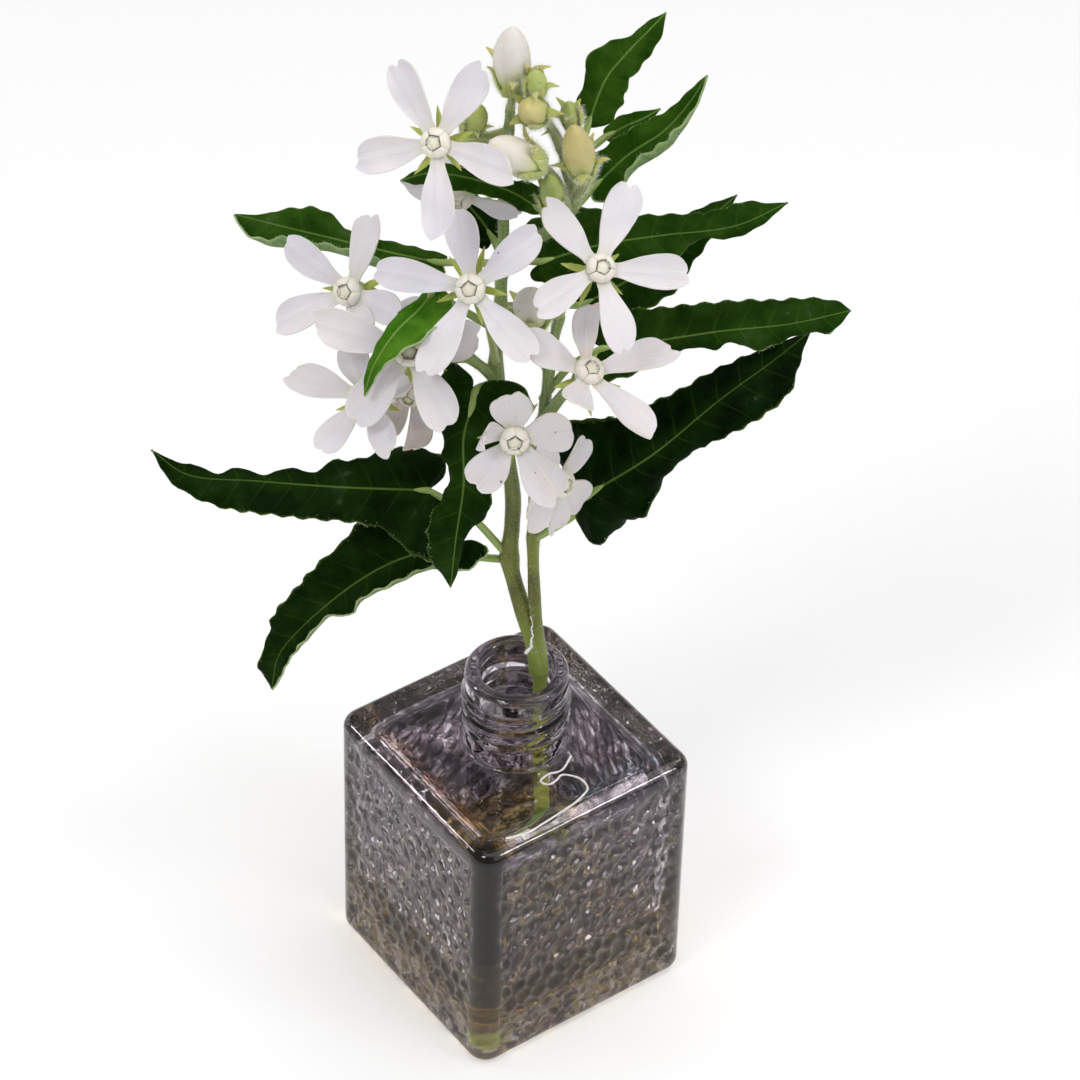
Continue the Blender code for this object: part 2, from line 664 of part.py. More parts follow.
def make_calyx(name, centre, frame, petals, start, material):
    """Five narrow sepals behind the petals, grown on the pedicel that carries the flower."""
    bm = bmesh.new()
    cup = centre - frame[2] * (COROLLA_TUBE + GAP + 0.2)
    sepals = [(turn + 36, SEPAL_LENGTH, SEPAL_LIFT) for turn, _, _ in petals]
    lower = add_whorl(bm, frame, cup, sepals, CALYX_RADIUS, SEPAL_HALF_WIDTH, 0.5,
                      SEPAL_PROFILE, 0.0)
    add_pedicel(bm, frame, cup, 1.6, lower, start)
    return add_object(name, bm, material)


def make_covered_flower(name, centre, frame, petals, start, material):
    """Petals and pedicel in one, for a flower whose middle lies under a leaf."""
    bm = bmesh.new()
    lower = add_whorl(bm, frame, centre, petals, COROLLA_MOUTH, PETAL_HALF_WIDTH,
                      PETAL_THICKNESS, PETAL_PROFILE, PETAL_RECURVE)
    add_pedicel(bm, frame, centre, COROLLA_TUBE + 1.6, lower, start)
    return add_object(name, bm, material)


def make_bud(name, base, tip, radius, start, material):
    """A closed flower on its pedicel, swelling above the calyx and pointed at the tip."""
    base = Vector(base)
    tip = Vector(tip)
    outward = (tip - base).normalized()
    stalk = stalk_path(start, base - outward * 1.0, outward, 5)
    path = stalk + [base.lerp(tip, along) for along, _ in BUD_PROFILE]
    radii = [PEDICEL_RADIUS] * len(stalk) + [radius * share for _, share in BUD_PROFILE]
    bm = bmesh.new()
    first, last = add_tube(bm, path, radii)
    bm.faces.new(reversed(first))
    bm.faces.new(last)
    return add_object(name, bm, material)


def build():
    clear_scene()
    looks = {name: make_material(name) for name in COLOURS}
    make_bottle(looks["glass"])
    for name, (points, first_radius, last_radius) in STEMS.items():
        make_stem(name, points, first_radius, last_radius, looks["stem"])
    for name, (points, face, left, right) in LEAVES.items():
        make_leaf(name, points, face, left, right, looks["leaf"])
    for name, (centre, facing, start, petals) in FLOWERS.items():
        centre = Vector(centre)
        frame = facing_frame(*facing)
        if name == "flower_under_leaf":
            make_covered_flower(name, centre, frame, petals, start, looks["petal"])
            continue
        make_corolla(name + "_corolla", centre, frame, petals, looks["petal"])
        if name != "flower_fading":
            make_corona(name + "_corona", centre, frame, petals[0][0], looks["corona"])
        make_calyx(name + "_calyx", centre, frame, petals, start, looks["calyx"])
    for name, (base, tip, radius, start) in BUDS.items():
        make_bud(name, base, tip, radius, start, looks["bud"])


build()
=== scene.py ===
# %% [markdown]
# # Tweedia in a square glass bottle
# A cut flower in a small bottle is three kinds of making in one: pressed glass, which is
# thick and clear; leaves and petals, which are thin sheets; and stems and buds, which are
# round and downy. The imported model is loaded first, because every piece has to sit where
# its plain solid sits.

# %% Load the frame
import json
from functools import cached_property, partialmethod
from math import cos, pi, radians, sin
import bmesh
import bpy
import numpy as np
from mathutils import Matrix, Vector

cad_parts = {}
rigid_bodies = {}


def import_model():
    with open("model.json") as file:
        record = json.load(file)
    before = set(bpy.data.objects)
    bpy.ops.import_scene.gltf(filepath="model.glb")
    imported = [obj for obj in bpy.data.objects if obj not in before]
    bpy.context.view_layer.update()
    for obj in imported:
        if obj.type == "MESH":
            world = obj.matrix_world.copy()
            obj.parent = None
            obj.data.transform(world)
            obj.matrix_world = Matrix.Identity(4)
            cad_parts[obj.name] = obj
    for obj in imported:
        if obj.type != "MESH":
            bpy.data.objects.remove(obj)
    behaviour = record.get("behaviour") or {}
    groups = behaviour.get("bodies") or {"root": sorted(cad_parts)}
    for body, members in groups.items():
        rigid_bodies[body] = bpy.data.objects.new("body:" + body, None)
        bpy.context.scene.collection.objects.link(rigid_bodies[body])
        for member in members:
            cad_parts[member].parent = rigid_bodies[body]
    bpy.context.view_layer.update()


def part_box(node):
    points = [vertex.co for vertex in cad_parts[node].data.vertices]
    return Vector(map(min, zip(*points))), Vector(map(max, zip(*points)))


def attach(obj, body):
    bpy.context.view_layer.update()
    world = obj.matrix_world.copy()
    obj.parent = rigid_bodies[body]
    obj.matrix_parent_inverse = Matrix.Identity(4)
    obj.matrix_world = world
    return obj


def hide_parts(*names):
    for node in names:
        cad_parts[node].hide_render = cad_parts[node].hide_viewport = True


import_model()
MM = 0.001
UP = Vector((0.0, 0.0, 1.0))

# %% [markdown]
# ## Camera
# The bottle stands with one corner towards the viewer and is seen from well above. A long
# lens nearly a metre away keeps its upright edges parallel, and the camera leans a little.

# %% Camera
def direction(azimuth, height):
    """The way from the plant to something at these angles, in degrees."""
    a, h = radians(azimuth), radians(height)
    return Vector((sin(a) * cos(h), -cos(a) * cos(h), sin(h)))


def stand(name, data, target, way, distance):
    """Stands a camera or a lamp at a distance from its target, looking at it."""
    thing = bpy.data.objects.new(name, data)
    thing.location = target + way * distance
    thing.rotation_euler = way.to_track_quat("Z", "Y").to_matrix().to_euler()
    bpy.context.scene.collection.objects.link(thing)
    return thing


CAMERA_AZIMUTH, CAMERA_HEIGHT, CAMERA_LEAN = -36.8, 41.5, 1.6
away = direction(CAMERA_AZIMUTH, CAMERA_HEIGHT)
lens = bpy.data.cameras.new("camera")
lens.lens, lens.sensor_width, lens.clip_start = 152.0, 36.0, 0.01
camera = stand("camera", lens, Vector((0.0271, 0.0300, 0.0725)), away, 0.900)
camera.rotation_euler.rotate_axis("Z", radians(CAMERA_LEAN))
bpy.context.scene.camera = camera
print("camera at", [round(v, 3) for v in camera.location])

# %% [markdown]
# ## Maths with nodes
# A vein or a stripe is a sum of small formulas, and wiring each one by hand is slow to read.
# So a socket is wrapped in a class whose operators add Math nodes. Then `1 - mask` in Python
# is `1 - mask` in a material, and in a geometry tree as well.

# %% Sockets that can be added and multiplied
class Value:
    """A socket that takes part in ordinary arithmetic."""

    def __init__(self, maker, socket):
        self.maker, self.socket = maker, socket

    def maths(self, operation, *others):
        return self.maker.node("ShaderNodeMath", {"operation": operation}, (self, *others))

    def __rsub__(self, other):
        return self.maker.node("ShaderNodeMath", {"operation": "SUBTRACT"}, (other, self))

    def vector(self, operation, other=None, scale=None):
        return self.maker.node("ShaderNodeVectorMath", {"operation": operation},
                               {0: self, 1: other, "Scale": scale})

    def split(self):
        """The three numbers of a vector."""
        made = self.maker.node("ShaderNodeSeparateXYZ", {}, (self,)).socket.node
        return [Value(self.maker, socket) for socket in made.outputs]

    def ramp(self, low, high, to_low=0.0, to_high=1.0):
        """Runs smoothly from to_low to to_high while this value runs from low to high."""
        return self.maker.node("ShaderNodeMapRange", {"interpolation_type": "SMOOTHSTEP"},
                               (self, low, high, to_low, to_high))

    def fall(self, low, high, most=1.0):
        return self.ramp(low, high, most, 0.0)

    def span(self, low, low_end, high, high_end):
        """One in a band, with a soft end on either side."""
        return self.ramp(low, low_end) * self.fall(high, high_end)

    def spread(self, least=0.0, most=1.0):
        """Stretches a noise, which mostly lies between 0.3 and 0.7."""
        return self.ramp(0.3, 0.7, least, most)

    def mix(self, first, second):
        """A colour between two colours, as far as this value says."""
        return self.maker.node("ShaderNodeMix", {"data_type": "RGBA"},
                               {0: self, 6: first, 7: second}, 2)


OPERATORS = {"__add__": "ADD", "__radd__": "ADD", "__sub__": "SUBTRACT", "__mul__": "MULTIPLY",
             "__rmul__": "MULTIPLY", "__truediv__": "DIVIDE", "absolute": "ABSOLUTE",
             "fraction": "FRACT", "at_most": "MINIMUM", "at_least": "MAXIMUM",
             "above": "GREATER_THAN", "modulo": "FLOORED_MODULO"}
for word, operation in OPERATORS.items():
    setattr(Value, word, partialmethod(Value.maths, operation))


# %% Trees of nodes, and materials
class Nodes:
    """A tree of nodes, made by calls."""

    def __init__(self, tree):
        self.tree = tree

    def node(self, kind, settings=None, inputs=(), output=0):
        """Adds a node, sets it up, and joins or fills its sockets by place or by name."""
        made = self.tree.nodes.new(kind)
        for key, value in (settings or {}).items():
            setattr(made, key, value)
        for key, value in inputs.items() if isinstance(inputs, dict) else enumerate(inputs):
            if value is not None:
                self.join(value, made.inputs[key])
        return Value(self, made.outputs[output])

    def join(self, value, socket):
        if isinstance(value, Value):
            self.tree.links.new(value.socket, socket)
        else:
            socket.default_value = (*value, 1.0) if socket.type == "RGBA" else value

    def noise(self, where, scale, detail=3.0, roughness=0.5, distortion=0.0, output=0):
        return self.node("ShaderNodeTexNoise", {}, {
            "Vector": where, "Scale": scale, "Detail": detail, "Roughness": roughness,
            "Distortion": distortion}, output)


class Finish(Nodes):
    """One material, whose nodes are made by calls on this object."""

    def __init__(self, name):
        self.material = bpy.data.materials.new(name)
        self.material.use_nodes = True
        super().__init__(self.material.node_tree)
        self.shader = self.tree.nodes["Principled BSDF"]

    @cached_property
    def place(self):
        return self.node("ShaderNodeTexCoord", output="Object")

    @cached_property
    def measure(self):
        """The piece's own map, in millimetres across and along."""
        return self.node("ShaderNodeUVMap", {"uv_map": "measure"}).split()[:2]

    def attribute(self, name):
        return self.node("ShaderNodeAttribute", {"attribute_name": name}, output="Fac")

    def streaks(self, narrow, long, detail, roughness=0.5, shift=0.0):
        """A noise drawn out lengthwise."""
        across, along = self.measure
        where = self.node("ShaderNodeCombineXYZ", {}, (across * narrow, along * long, shift))
        return self.noise(where, 1.0, detail, roughness)

    def bump(self, height, distance, strength):
        return self.node("ShaderNodeBump", {}, {"Height": height, "Distance": distance,
                                                "Strength": strength})

    def set(self, **values):
        """Fills the shader's sockets; underscores in a name stand for spaces."""
        for key, value in values.items():
            self.join(value, self.shader.inputs[key.replace("_", " ")])
        return self.material

    def let_lamps_through(self, colour):
        """Rays from lamps pass straight on, tinted, so that what is inside glass is lit."""
        ray = self.node("ShaderNodeLightPath", output="Is Shadow Ray")
        clear = self.node("ShaderNodeBsdfTransparent", {}, {"Color": colour})
        both = self.node("ShaderNodeMixShader", {},
                         (ray, Value(self, self.shader.outputs["BSDF"]), clear))
        self.join(both, self.tree.nodes["Material Output"].inputs["Surface"])
        return self.material


def paint(colour, *coats):
    """Lays colours over one another, each as far as its mask says."""
    for mask, coat in coats:
        colour = mask.mix(colour, coat)
    return colour


def grained(name, scale, colours, roughness, foot=None, foot_colour=None, **more):
    """A finish whose fine grain lies between two colours; its foot may have a third."""
    finish = Finish(name)
    grain = finish.noise(finish.place, scale)
    colour = grain.mix(*colours)
    if foot:
        colour = finish.measure[1].fall(*foot).mix(colour, foot_colour)
    return finish.set(Base_Color=colour, Roughness=grain.spread(*roughness), **more)


print("node helpers ready:", len(OPERATORS), "operators")

# %% [markdown]
# ## The bottle's shell
# The bottle is pressed glass about 3.5 mm thick, so it has an outside and an inside, and
# light bends at both. Its sides carry a pressed pattern that needs an even grid of points.
# So the shell is drawn as rings, from the foot up the sides, over the shoulder, round the
# screw thread, and back down the hollow.

# %% Sizes of the bottle, from its solid
HALF, _, RIM = (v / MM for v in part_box("bottle")[1])
NECK, CORNER, EDGE, WALL, FLOOR = 18.0, 4.0, 2.5, 3.5, 6.5
SHOULDER, CEILING = RIM - NECK, RIM - NECK - 4.0
INSIDE, INSIDE_EDGE = HALF - WALL, 4.0
NECK_RADIUS, BORE = 10.0, 7.0
THREAD_PITCH, THREAD_DEPTH = 3.6, 0.6
print("body", 2 * HALF, "mm square, shoulder at", SHOULDER, "mm, rim at", RIM, "mm")


# %% Rings
def spoke(angle):
    return Vector((cos(angle), sin(angle), 0.0))


def square_ring(half, corner, z, side_points=104):
    """Points of a rounded square, evenly spaced along each side."""
    points, reach = [], half - corner
    for facing in (0.0, pi / 2, pi, 3 * pi / 2):
        out, along = spoke(facing), spoke(facing + pi / 2)
        points += [out * half + along * reach * (2 * i / side_points - 1)
                   for i in range(side_points)]
        points += [(out + along) * reach + spoke(facing + pi / 2 * i / 6) * corner
                   for i in range(6)]
    return [p + UP * z for p in points]


def inner_ring(inset, z, corner=4.5, half=INSIDE):
    return square_ring(half - inset, max(corner - inset, 1.0), z, 40)


def round_ring(radius, z, count=120):
    """Points of a circle on the bottle's axis; the radius may depend on the angle."""
    turns = [2 * pi * i / count for i in range(count)]
    return [spoke(a) * (radius(a) if callable(radius) else radius) + UP * z for a in turns]


def edge_arc(edge, steps=7):
    """Inset and rise of the points round a rounded edge, from its flat face to its side."""
    turns = [pi / 2 * i / steps for i in range(steps + 1)]
    return [(edge * (1 - sin(a)), edge * (1 - cos(a))) for a in turns]


def thread(height):
    """The neck's radius at a height above the shoulder, with the screw's ridge on it."""
    ends = min(max((height - 3.6) / 1.5, 0.0), 1.0) * min(max((14.2 - height) / 1.5, 0.0), 1.0)

    def radius(angle):
        ridge = 0.5 + 0.5 * cos(2 * pi * height / THREAD_PITCH - angle)
        return NECK_RADIUS + THREAD_DEPTH * ridge * ridge * ends
    return radius


# %% The shell's three runs of rings
UPRIGHT = 118
body = [square_ring(HALF - i, CORNER - i, z) for i, z in edge_arc(EDGE)]
body += [square_ring(HALF, CORNER, EDGE + (SHOULDER - 2 * EDGE) * k / UPRIGHT)
         for k in range(1, UPRIGHT)]
body += [square_ring(HALF - i, CORNER - i, SHOULDER - z) for i, z in reversed(edge_arc(EDGE))]

QUARTER = (0.0, 0.4, 0.8, 1.2, pi / 2)
profile = [(NECK_RADIUS + 1 - sin(a), SHOULDER + 1 - cos(a)) for a in QUARTER]
profile += [(thread(h), SHOULDER + h) for h in np.linspace(1.3, NECK - 1.2, 56)]
profile += [(NECK_RADIUS - 1.2 * (1 - cos(a)), RIM - 1.2 + 1.2 * sin(a)) for a in QUARTER[1:]]
profile += [(BORE + 0.9 * (1 - cos(a)), RIM - 0.9 + 0.9 * sin(a)) for a in (pi / 2, 1.1, 0.6, 0)]
profile += [(BORE + 0.12 * sin(h), RIM - h) for h in np.linspace(2, RIM - CEILING - 2, 12)]
profile += [(BORE + 1.6 * (1 - cos(a)), CEILING + 1.6 - 1.6 * sin(a)) for a in QUARTER]
neck = [round_ring(radius, z) for radius, z in profile]

hollow = [inner_ring(i, CEILING - z) for i, z in edge_arc(INSIDE_EDGE)]
hollow += [square_ring(INSIDE + 0.06 * sin(z * 0.9), 4.5, z, 40)
           for z in np.linspace(CEILING - 5, FLOOR + 5, 34)]
hollow += [inner_ring(i, FLOOR + z) for i, z in reversed(edge_arc(INSIDE_EDGE))]
print("rings:", len(body), "body,", len(neck), "neck,", len(hollow), "hollow")

# %% [markdown]
# Rings with the same number of points join with quads. Where the square shoulder meets the
# round neck the counts differ, and Blender's bridge tool fills between the two loops.

# %% Join the rings into one closed shell
def skin(bm, rings):
    """Quads between each pair of neighbouring rings."""
    loops = [[bm.verts.new(p * MM) for p in ring] for ring in rings]
    for lower, upper in zip(loops, loops[1:]):
        for i in range(len(lower)):
            j = (i + 1) % len(lower)
            bm.faces.new((lower[i], lower[j], upper[j], upper[i]))
    return loops


def loop_edges(bm, loop):
    """The edges round a loop, made where they are missing."""
    return [bm.edges.get(pair) or bm.edges.new(pair) for pair in zip(loop[-1:] + loop, loop)]


def to_object(name, bm, smooth_angle=None, closed=True):
    if closed:
        bmesh.ops.recalc_face_normals(bm, faces=bm.faces)
    mesh = bpy.data.meshes.new(name)
    bm.to_mesh(mesh)
    bm.free()
    mesh.shade_smooth()
    if smooth_angle:
        mesh.set_sharp_from_angle(angle=radians(smooth_angle))
    thing = bpy.data.objects.new(name, mesh)
    bpy.context.scene.collection.objects.link(thing)
    return thing


def hand_over(thing, node):
    """Fixes a piece to the object; node names the plain solid whose place it takes."""
    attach(thing, "root")
    if node:
        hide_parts(node)


def bottle_shell():
    bm = bmesh.new()
    outside, collar, inside = (skin(bm, rings) for rings in (body, neck, hollow))
    bm.faces.new(outside[0])
    bm.faces.new(inside[-1])
    for loop_a, loop_b in ((outside[-1], collar[0]), (collar[-1], inside[0])):
        bmesh.ops.bridge_loops(bm, edges=loop_edges(bm, loop_a) + loop_edges(bm, loop_b))
    return to_object("square_bottle", bm)


bottle = bottle_shell()
print("shell faces before pressing:", len(bottle.data.polygons))

# %% [markdown]
# ## The pressed pattern
# The mould leaves rows of shallow oval dimples on the four sides, like a honeycomb, with a
# smooth border round each side. Geometry Nodes can move points by a rule, so the dimples are
# a displacement: two grids of cells, the second shifted by half a cell, and each point takes
# the nearer centre. Their edges meet in thin ridges, as in the real glass.

# %% A helper for geometry trees
class Tree(Nodes):
    """A Geometry Nodes tree with named inputs; the last of them is a material."""

    def __init__(self, name, sizes):
        super().__init__(bpy.data.node_groups.new(name, "GeometryNodeTree"))
        self.ids = {}
        self.add_socket("Geometry", "Geometry")
        for label, value in sizes.items():
            made = self.add_socket(label, "Int" if isinstance(value, int) else "Float")
            made.default_value = value
        self.add_socket("Material", "Material")
        self.add_socket("Geometry", "Geometry", "OUTPUT")
        self.start = self.tree.nodes.new("NodeGroupInput")
        self.end = self.tree.nodes.new("NodeGroupOutput")

    def add_socket(self, label, kind, way="INPUT"):
        made = self.tree.interface.new_socket(label, in_out=way, socket_type="NodeSocket" + kind)
        self.ids[label] = made.identifier
        return made

    def given(self, label):
        return Value(self, self.start.outputs[label])

    def clad(self, geometry):
        """Makes instances real and gives them the material."""
        real = self.node("GeometryNodeRealizeInstances", {}, (geometry,))
        return self.node("GeometryNodeSetMaterial", {},
                         {"Geometry": real, "Material": self.given("Material")})


def settle(thing, tree, values, material):
    """Runs a tree on an object, turns the result into a plain mesh and drops the modifier."""
    modifier = thing.modifiers.new("growth", "NODES")
    modifier.node_group = tree.tree
    for label, value in {**values, "Material": material}.items():
        modifier[tree.ids[label]] = value
    ready = thing.evaluated_get(bpy.context.evaluated_depsgraph_get())
    made = bpy.data.meshes.new_from_object(ready)
    thing.modifiers.remove(modifier)
    thing.data = made


# %% The tree that presses the dimples
def dimple_tree():
    tree = Tree("pressed dimples", {"Cell Width": 0.0037, "Cell Height": 0.0078,
                                    "Depth": 0.00062, "Border": 0.005, "Half": 0.025,
                                    "Bottom": 0.004, "Top": 0.052})
    where = tree.node("GeometryNodeInputPosition")
    wander = tree.noise(where, 170.0, 2.0, output="Color").vector("SUBTRACT", (0.5, 0.5, 0.5))
    x, y, z = where.vector("ADD", wander.vector("MULTIPLY", (0.0040, 0.0040, 0.0040))).split()
    across = tree.node("GeometryNodeSwitch", {"input_type": "FLOAT"},
                       {"Switch": x.absolute().above(y.absolute()), "False": x, "True": y})
    distances = []
    for shift in (0.0, 0.5):
        wide = (across / tree.given("Cell Width") + shift).modulo(1.0) - 0.5
        tall = (z / tree.given("Cell Height") + shift).modulo(1.0) - 0.5
        distances.append(wide * wide + tall * tall * 3.0)
    bowl = (1.0 - distances[0].at_most(distances[1]) * 3.2).at_least(0.0)
    half, bottom, top = (tree.given(label) for label in ("Half", "Bottom", "Top"))
    border, soft = half - tree.given("Border"), 0.0012
    side_x, side_y, _ = where.vector("ABSOLUTE").split()
    panel = (across.absolute().ramp(border + soft, border) * z.ramp(bottom, bottom + soft)
             * z.ramp(top, top - soft) * side_x.at_least(side_y).above(half - 0.00002))
    pressed = bowl * panel
    offset = tree.node("GeometryNodeInputNormal").vector(
        "SCALE", scale=pressed * (tree.given("Depth") * -1.0))
    moved = tree.node("GeometryNodeSetPosition", {},
                      {"Geometry": tree.given("Geometry"), "Offset": offset})
    for label, amount in (("bowl", pressed), ("panel", panel)):
        moved = tree.node("GeometryNodeStoreNamedAttribute", {"data_type": "FLOAT"},
                          {"Geometry": moved, "Name": label, "Value": amount})
    tree.join(tree.clad(moved), tree.end.inputs["Geometry"])
    return tree


# %% [markdown]
# ## Glass
# Smoky glass is clear glass with a little colour in it. In the shader the colour tints each
# crossing of the surface, so two walls look darker than one. Roughness stays almost nil:
# the pressed surface breaks up the view, with painted shade, painted highlights and painted
# reflections in the tint for the dark and bright surroundings seen in the glass. Seen from
# the front, the stem's foot and brown and tan bands in the water show through the clear corner,
# and the stem as a green line beside it; above the water the corner has painted shade where
# the dark inside shows.

# %% Glass, then press and place the bottle
# Bands up the front corner, in millimetres, with their tints: a dark band at the foot, the green
# stem foot, brown and tan bands in the water, and above the water painted shade where the dark
# inside shows through.
FRONT_BANDS = [(0.0, 3.7, (0.12, 0.09, 0.05)), (4.4, 9.0, (0.55, 0.72, 0.05)),
               (9.0, 12.5, (0.26, 0.15, 0.04)), (12.5, 16.0, (0.70, 0.53, 0.23)),
               (16.0, 28.0, (0.10, 0.080, 0.05)), (28.0, 60.0, (0.008, 0.006, 0.004))]


def smoky_glass():
    finish = Finish("smoky_glass")
    place = finish.place
    x, y, z = place.split()
    turned = finish.node("ShaderNodeNewGeometry", output="True Normal").split()[2]
    level = turned.absolute().ramp(0.6, 0.95)
    shoulder = level * z.ramp(0.046, 0.050)
    sides = 1 - shoulder
    corner = x.absolute().at_most(y.absolute()).ramp(0.0188, 0.0212)
    front = corner * (x + y).fall(-0.040, -0.036)
    bowl, panel = finish.attribute("bowl"), finish.attribute("panel")
    uneven = finish.noise(place, 260.0, 2.0).ramp(0.35, 0.65)
    # Dark specks, denser near the foot and at the corners: painted shade for dark surroundings seen
    # in the glass.
    specks_and_painted_shade = finish.noise(place, 430.0, 2.0, 0.5, 0.6)
    specks_and_painted_shade = specks_and_painted_shade + (z.fall(0.003, 0.013, 0.05) + corner * 0.05)
    # White glints on the sides: painted highlights.
    painted_glints = finish.noise(place, 370.0, 2.0, 0.5, 0.6).ramp(0.53, 0.60)
    # Dark and light swirls on the shoulder: painted shade and painted highlights where the back
    # walls show through.
    painted_swirls = finish.noise(place, 85.0, 2.0, 0.45, 1.6)
    low = z.fall(0.004, 0.021) * (1 - corner)
    # Tan and olive patches towards the foot: painted reflection of a warm table below the bottle.
    painted_table_tan = finish.noise(place, 130.0, 2.0).ramp(0.42, 0.58).mix((0.30, 0.19, 0.06),
                                                                (0.85, 0.66, 0.14))
    # Warm and cool bands just inside the shoulder's front edges: painted reflections.
    painted_warm_reflection = x.span(-0.0230, -0.0205, -0.0190, -0.0165) * uneven
    painted_cool_reflection = y.span(-0.0225, -0.0205, -0.0180, -0.0140) * uneven
    bands = [(front * (z * 1000.0).span(bottom - 0.5, bottom + 0.5, top - 0.5, top + 0.5), tint)
             for bottom, top, tint in FRONT_BANDS]
    line = x.fall(-0.0249, -0.0247) * (y + 0.0196).absolute().fall(0.0003, 0.0007)
    cells = y.fall(-0.0242, -0.0236) * (x + 0.0160).absolute().fall(0.0015, 0.0035)
    tint = paint(
        # The glass's own smoky colour, darker on the sides than on the shoulder and the neck: that
        # difference is painted shade.
        level.mix((0.22, 0.172, 0.205), (0.60, 0.55, 0.60)),
        (z.ramp(0.0575, 0.0590), (0.62, 0.57, 0.63)),
        (panel * (1 - bowl) * 0.88, (0.07, 0.058, 0.065)),
        (panel * bowl * uneven * 0.8, (0.58, 0.50, 0.54)),
        # Painted reflection: tan and olive towards the foot.
        (low * (0.5 + bowl * 0.4), painted_table_tan),
        # Painted shade: dark specks on the sides.
        (sides * specks_and_painted_shade.ramp(0.53, 0.59) * 0.92, (0.04, 0.036, 0.04)),
        # Painted highlights: white glints on the sides.
        (sides * painted_glints * 0.9, (1.0, 0.96, 0.98)),
        # Painted shade and painted highlights: swirls on the shoulder.
        (shoulder * painted_swirls.ramp(0.48, 0.58) * 0.88, (0.06, 0.055, 0.065)),
        (shoulder * painted_swirls.fall(0.36, 0.44) * 0.8, (0.98, 0.95, 1.0)),
        # Painted reflections: warm and cool bands near the front edges.
        (shoulder * painted_warm_reflection * 0.7, (0.80, 0.46, 0.28)),
        (shoulder * painted_cool_reflection * 0.7, (0.36, 0.52, 0.66)),
        # The back corners darken higher up: painted shade.
        ((corner - front) * z.ramp(0.008, 0.022, 0.2, 0.8), (0.15, 0.130, 0.125)),
        # Front corner bands; those above the water are painted shade.
        *bands,
        (line * z.span(0.009, 0.013, 0.046, 0.048), (0.85, 1.0, 0.10)),
        (cells * panel * (1 - bowl) * 0.8, (0.60, 0.80, 0.05)))
    finish.set(Base_Color=tint, Roughness=finish.noise(place, 90.0).ramp(0.45, 0.75, 0.0, 0.05),
               Normal=finish.bump(finish.noise(place, 70.0, 1.0, 0.3), 0.0006, 0.5),
               IOR=1.46, Transmission_Weight=1.0, Specular_IOR_Level=0.22)
    return finish.let_lamps_through((0.83, 0.80, 0.79))


settle(bottle, dimple_tree(), {"Half": HALF * MM, "Top": (SHOULDER - 4.0) * MM}, smoky_glass())
bottle.data.shade_smooth()
hand_over(bottle, "bottle")
print("bottle triangles:", sum(len(p.vertices) - 2 for p in bottle.data.polygons))

# %% [markdown]
# ## Water
# The bottle is about a quarter full. Water is a body of its own: its sides reach a hair's breadth
# into the glass, so that no film of air lies between them to mirror the light, and its top
# climbs a little where it meets the wall.

# %% Water
WATER_LEVEL = 17.0
WATER_REACH = INSIDE + 0.10
WATER_CORNER = 4.6
MENISCUS = ((0.25, 0.35), (0.6, 0.15), (1.1, 0.04), (1.8, 0.0), (6.0, 0.0))


def water_body():
    bm = bmesh.new()
    levels = [(i, FLOOR - 0.05 + z) for i, z in edge_arc(INSIDE_EDGE)]
    levels += [(0.0, z) for z in (13.0, 15.5, WATER_LEVEL + 0.9)]
    levels += [(inset, WATER_LEVEL + rise) for inset, rise in MENISCUS]
    loops = skin(bm, [inner_ring(i, z, WATER_CORNER, WATER_REACH) for i, z in levels])
    bm.faces.new(loops[0])
    bm.faces.new(loops[-1])
    return to_object("water", bm, smooth_angle=60)


def clear_water():
    finish = Finish("clear_water")
    finish.set(Base_Color=(0.88, 0.77, 0.38), Roughness=0.0, IOR=1.33, Transmission_Weight=1.0)
    return finish.let_lamps_through((0.96, 0.94, 0.86))


water = water_body()
water.data.materials.append(clear_water())
hand_over(water, None)
print("water up to", WATER_LEVEL, "mm")

# %% [markdown]
# ## The plant's plan
# A cut tweedia has one straight stem with opposite leaves, and flower stalks that rise from
# the leaf joints. These tables say where each part runs, in millimetres. Most of the numbers
# were worked out by a separate measuring program, with a fit for the flowers' angles and
# petals, then rounded and in places corrected by hand. So they are data, and no rule in this
# script leads to them. The places are those of the plain solids, apart from small changes to
# the two stems and four buds.

# %% Where the stems run, with the radius at the first and last point
STEMS = {
    "main_stem": ([(6, -6, 8), (4, -3.5, 42), (3, -3.5, 71), (3, -3.5, 76), (1.1, -3.5, 96),
                   (0, -4, 116), (1.5, -3.5, 132), (2, -4, 143.5), (2, -5.5, 156),
                   (2.5, -7, 166)], 1.55, 0.9),
    "side_stem": ([(2.6, -3.4, 76), (1.6, -3, 83), (0.2, -1.0, 91.5), (-1.6, 0.9, 103),
                   (-1.4, 0.7, 112), (-1.6, 0.8, 122), (-4, 3, 146.5), (-3, 3.5, 161.5),
                   (-2, 4, 171.5), (1.5, 1.5, 176), (5, -1.5, 180), (7.5, -3, 185.5)], 1.6, 1.1),
    "left_flower_stalk": ([(-4, 3, 147), (-9, 3, 153), (-13, 3, 158), (-17, 5, 161)], 0.9, 0.8),
    "right_flower_stalk": ([(1.5, -3.5, 138), (2, -9, 148), (1, -14, 154)], 1.2, 1.0),
    "upper_flower_stalk": ([(-2, 4, 171.5), (-1.5, 5, 179), (-1.5, 5, 189), (-1.5, 4, 200.5),
                            (-2, 3, 206.5)], 1.0, 0.8),
    "bud_cluster_stalk": ([(7.5, -3, 185.5), (6, -3, 193.5), (4, -3, 200.5)], 1.0, 0.8),
}

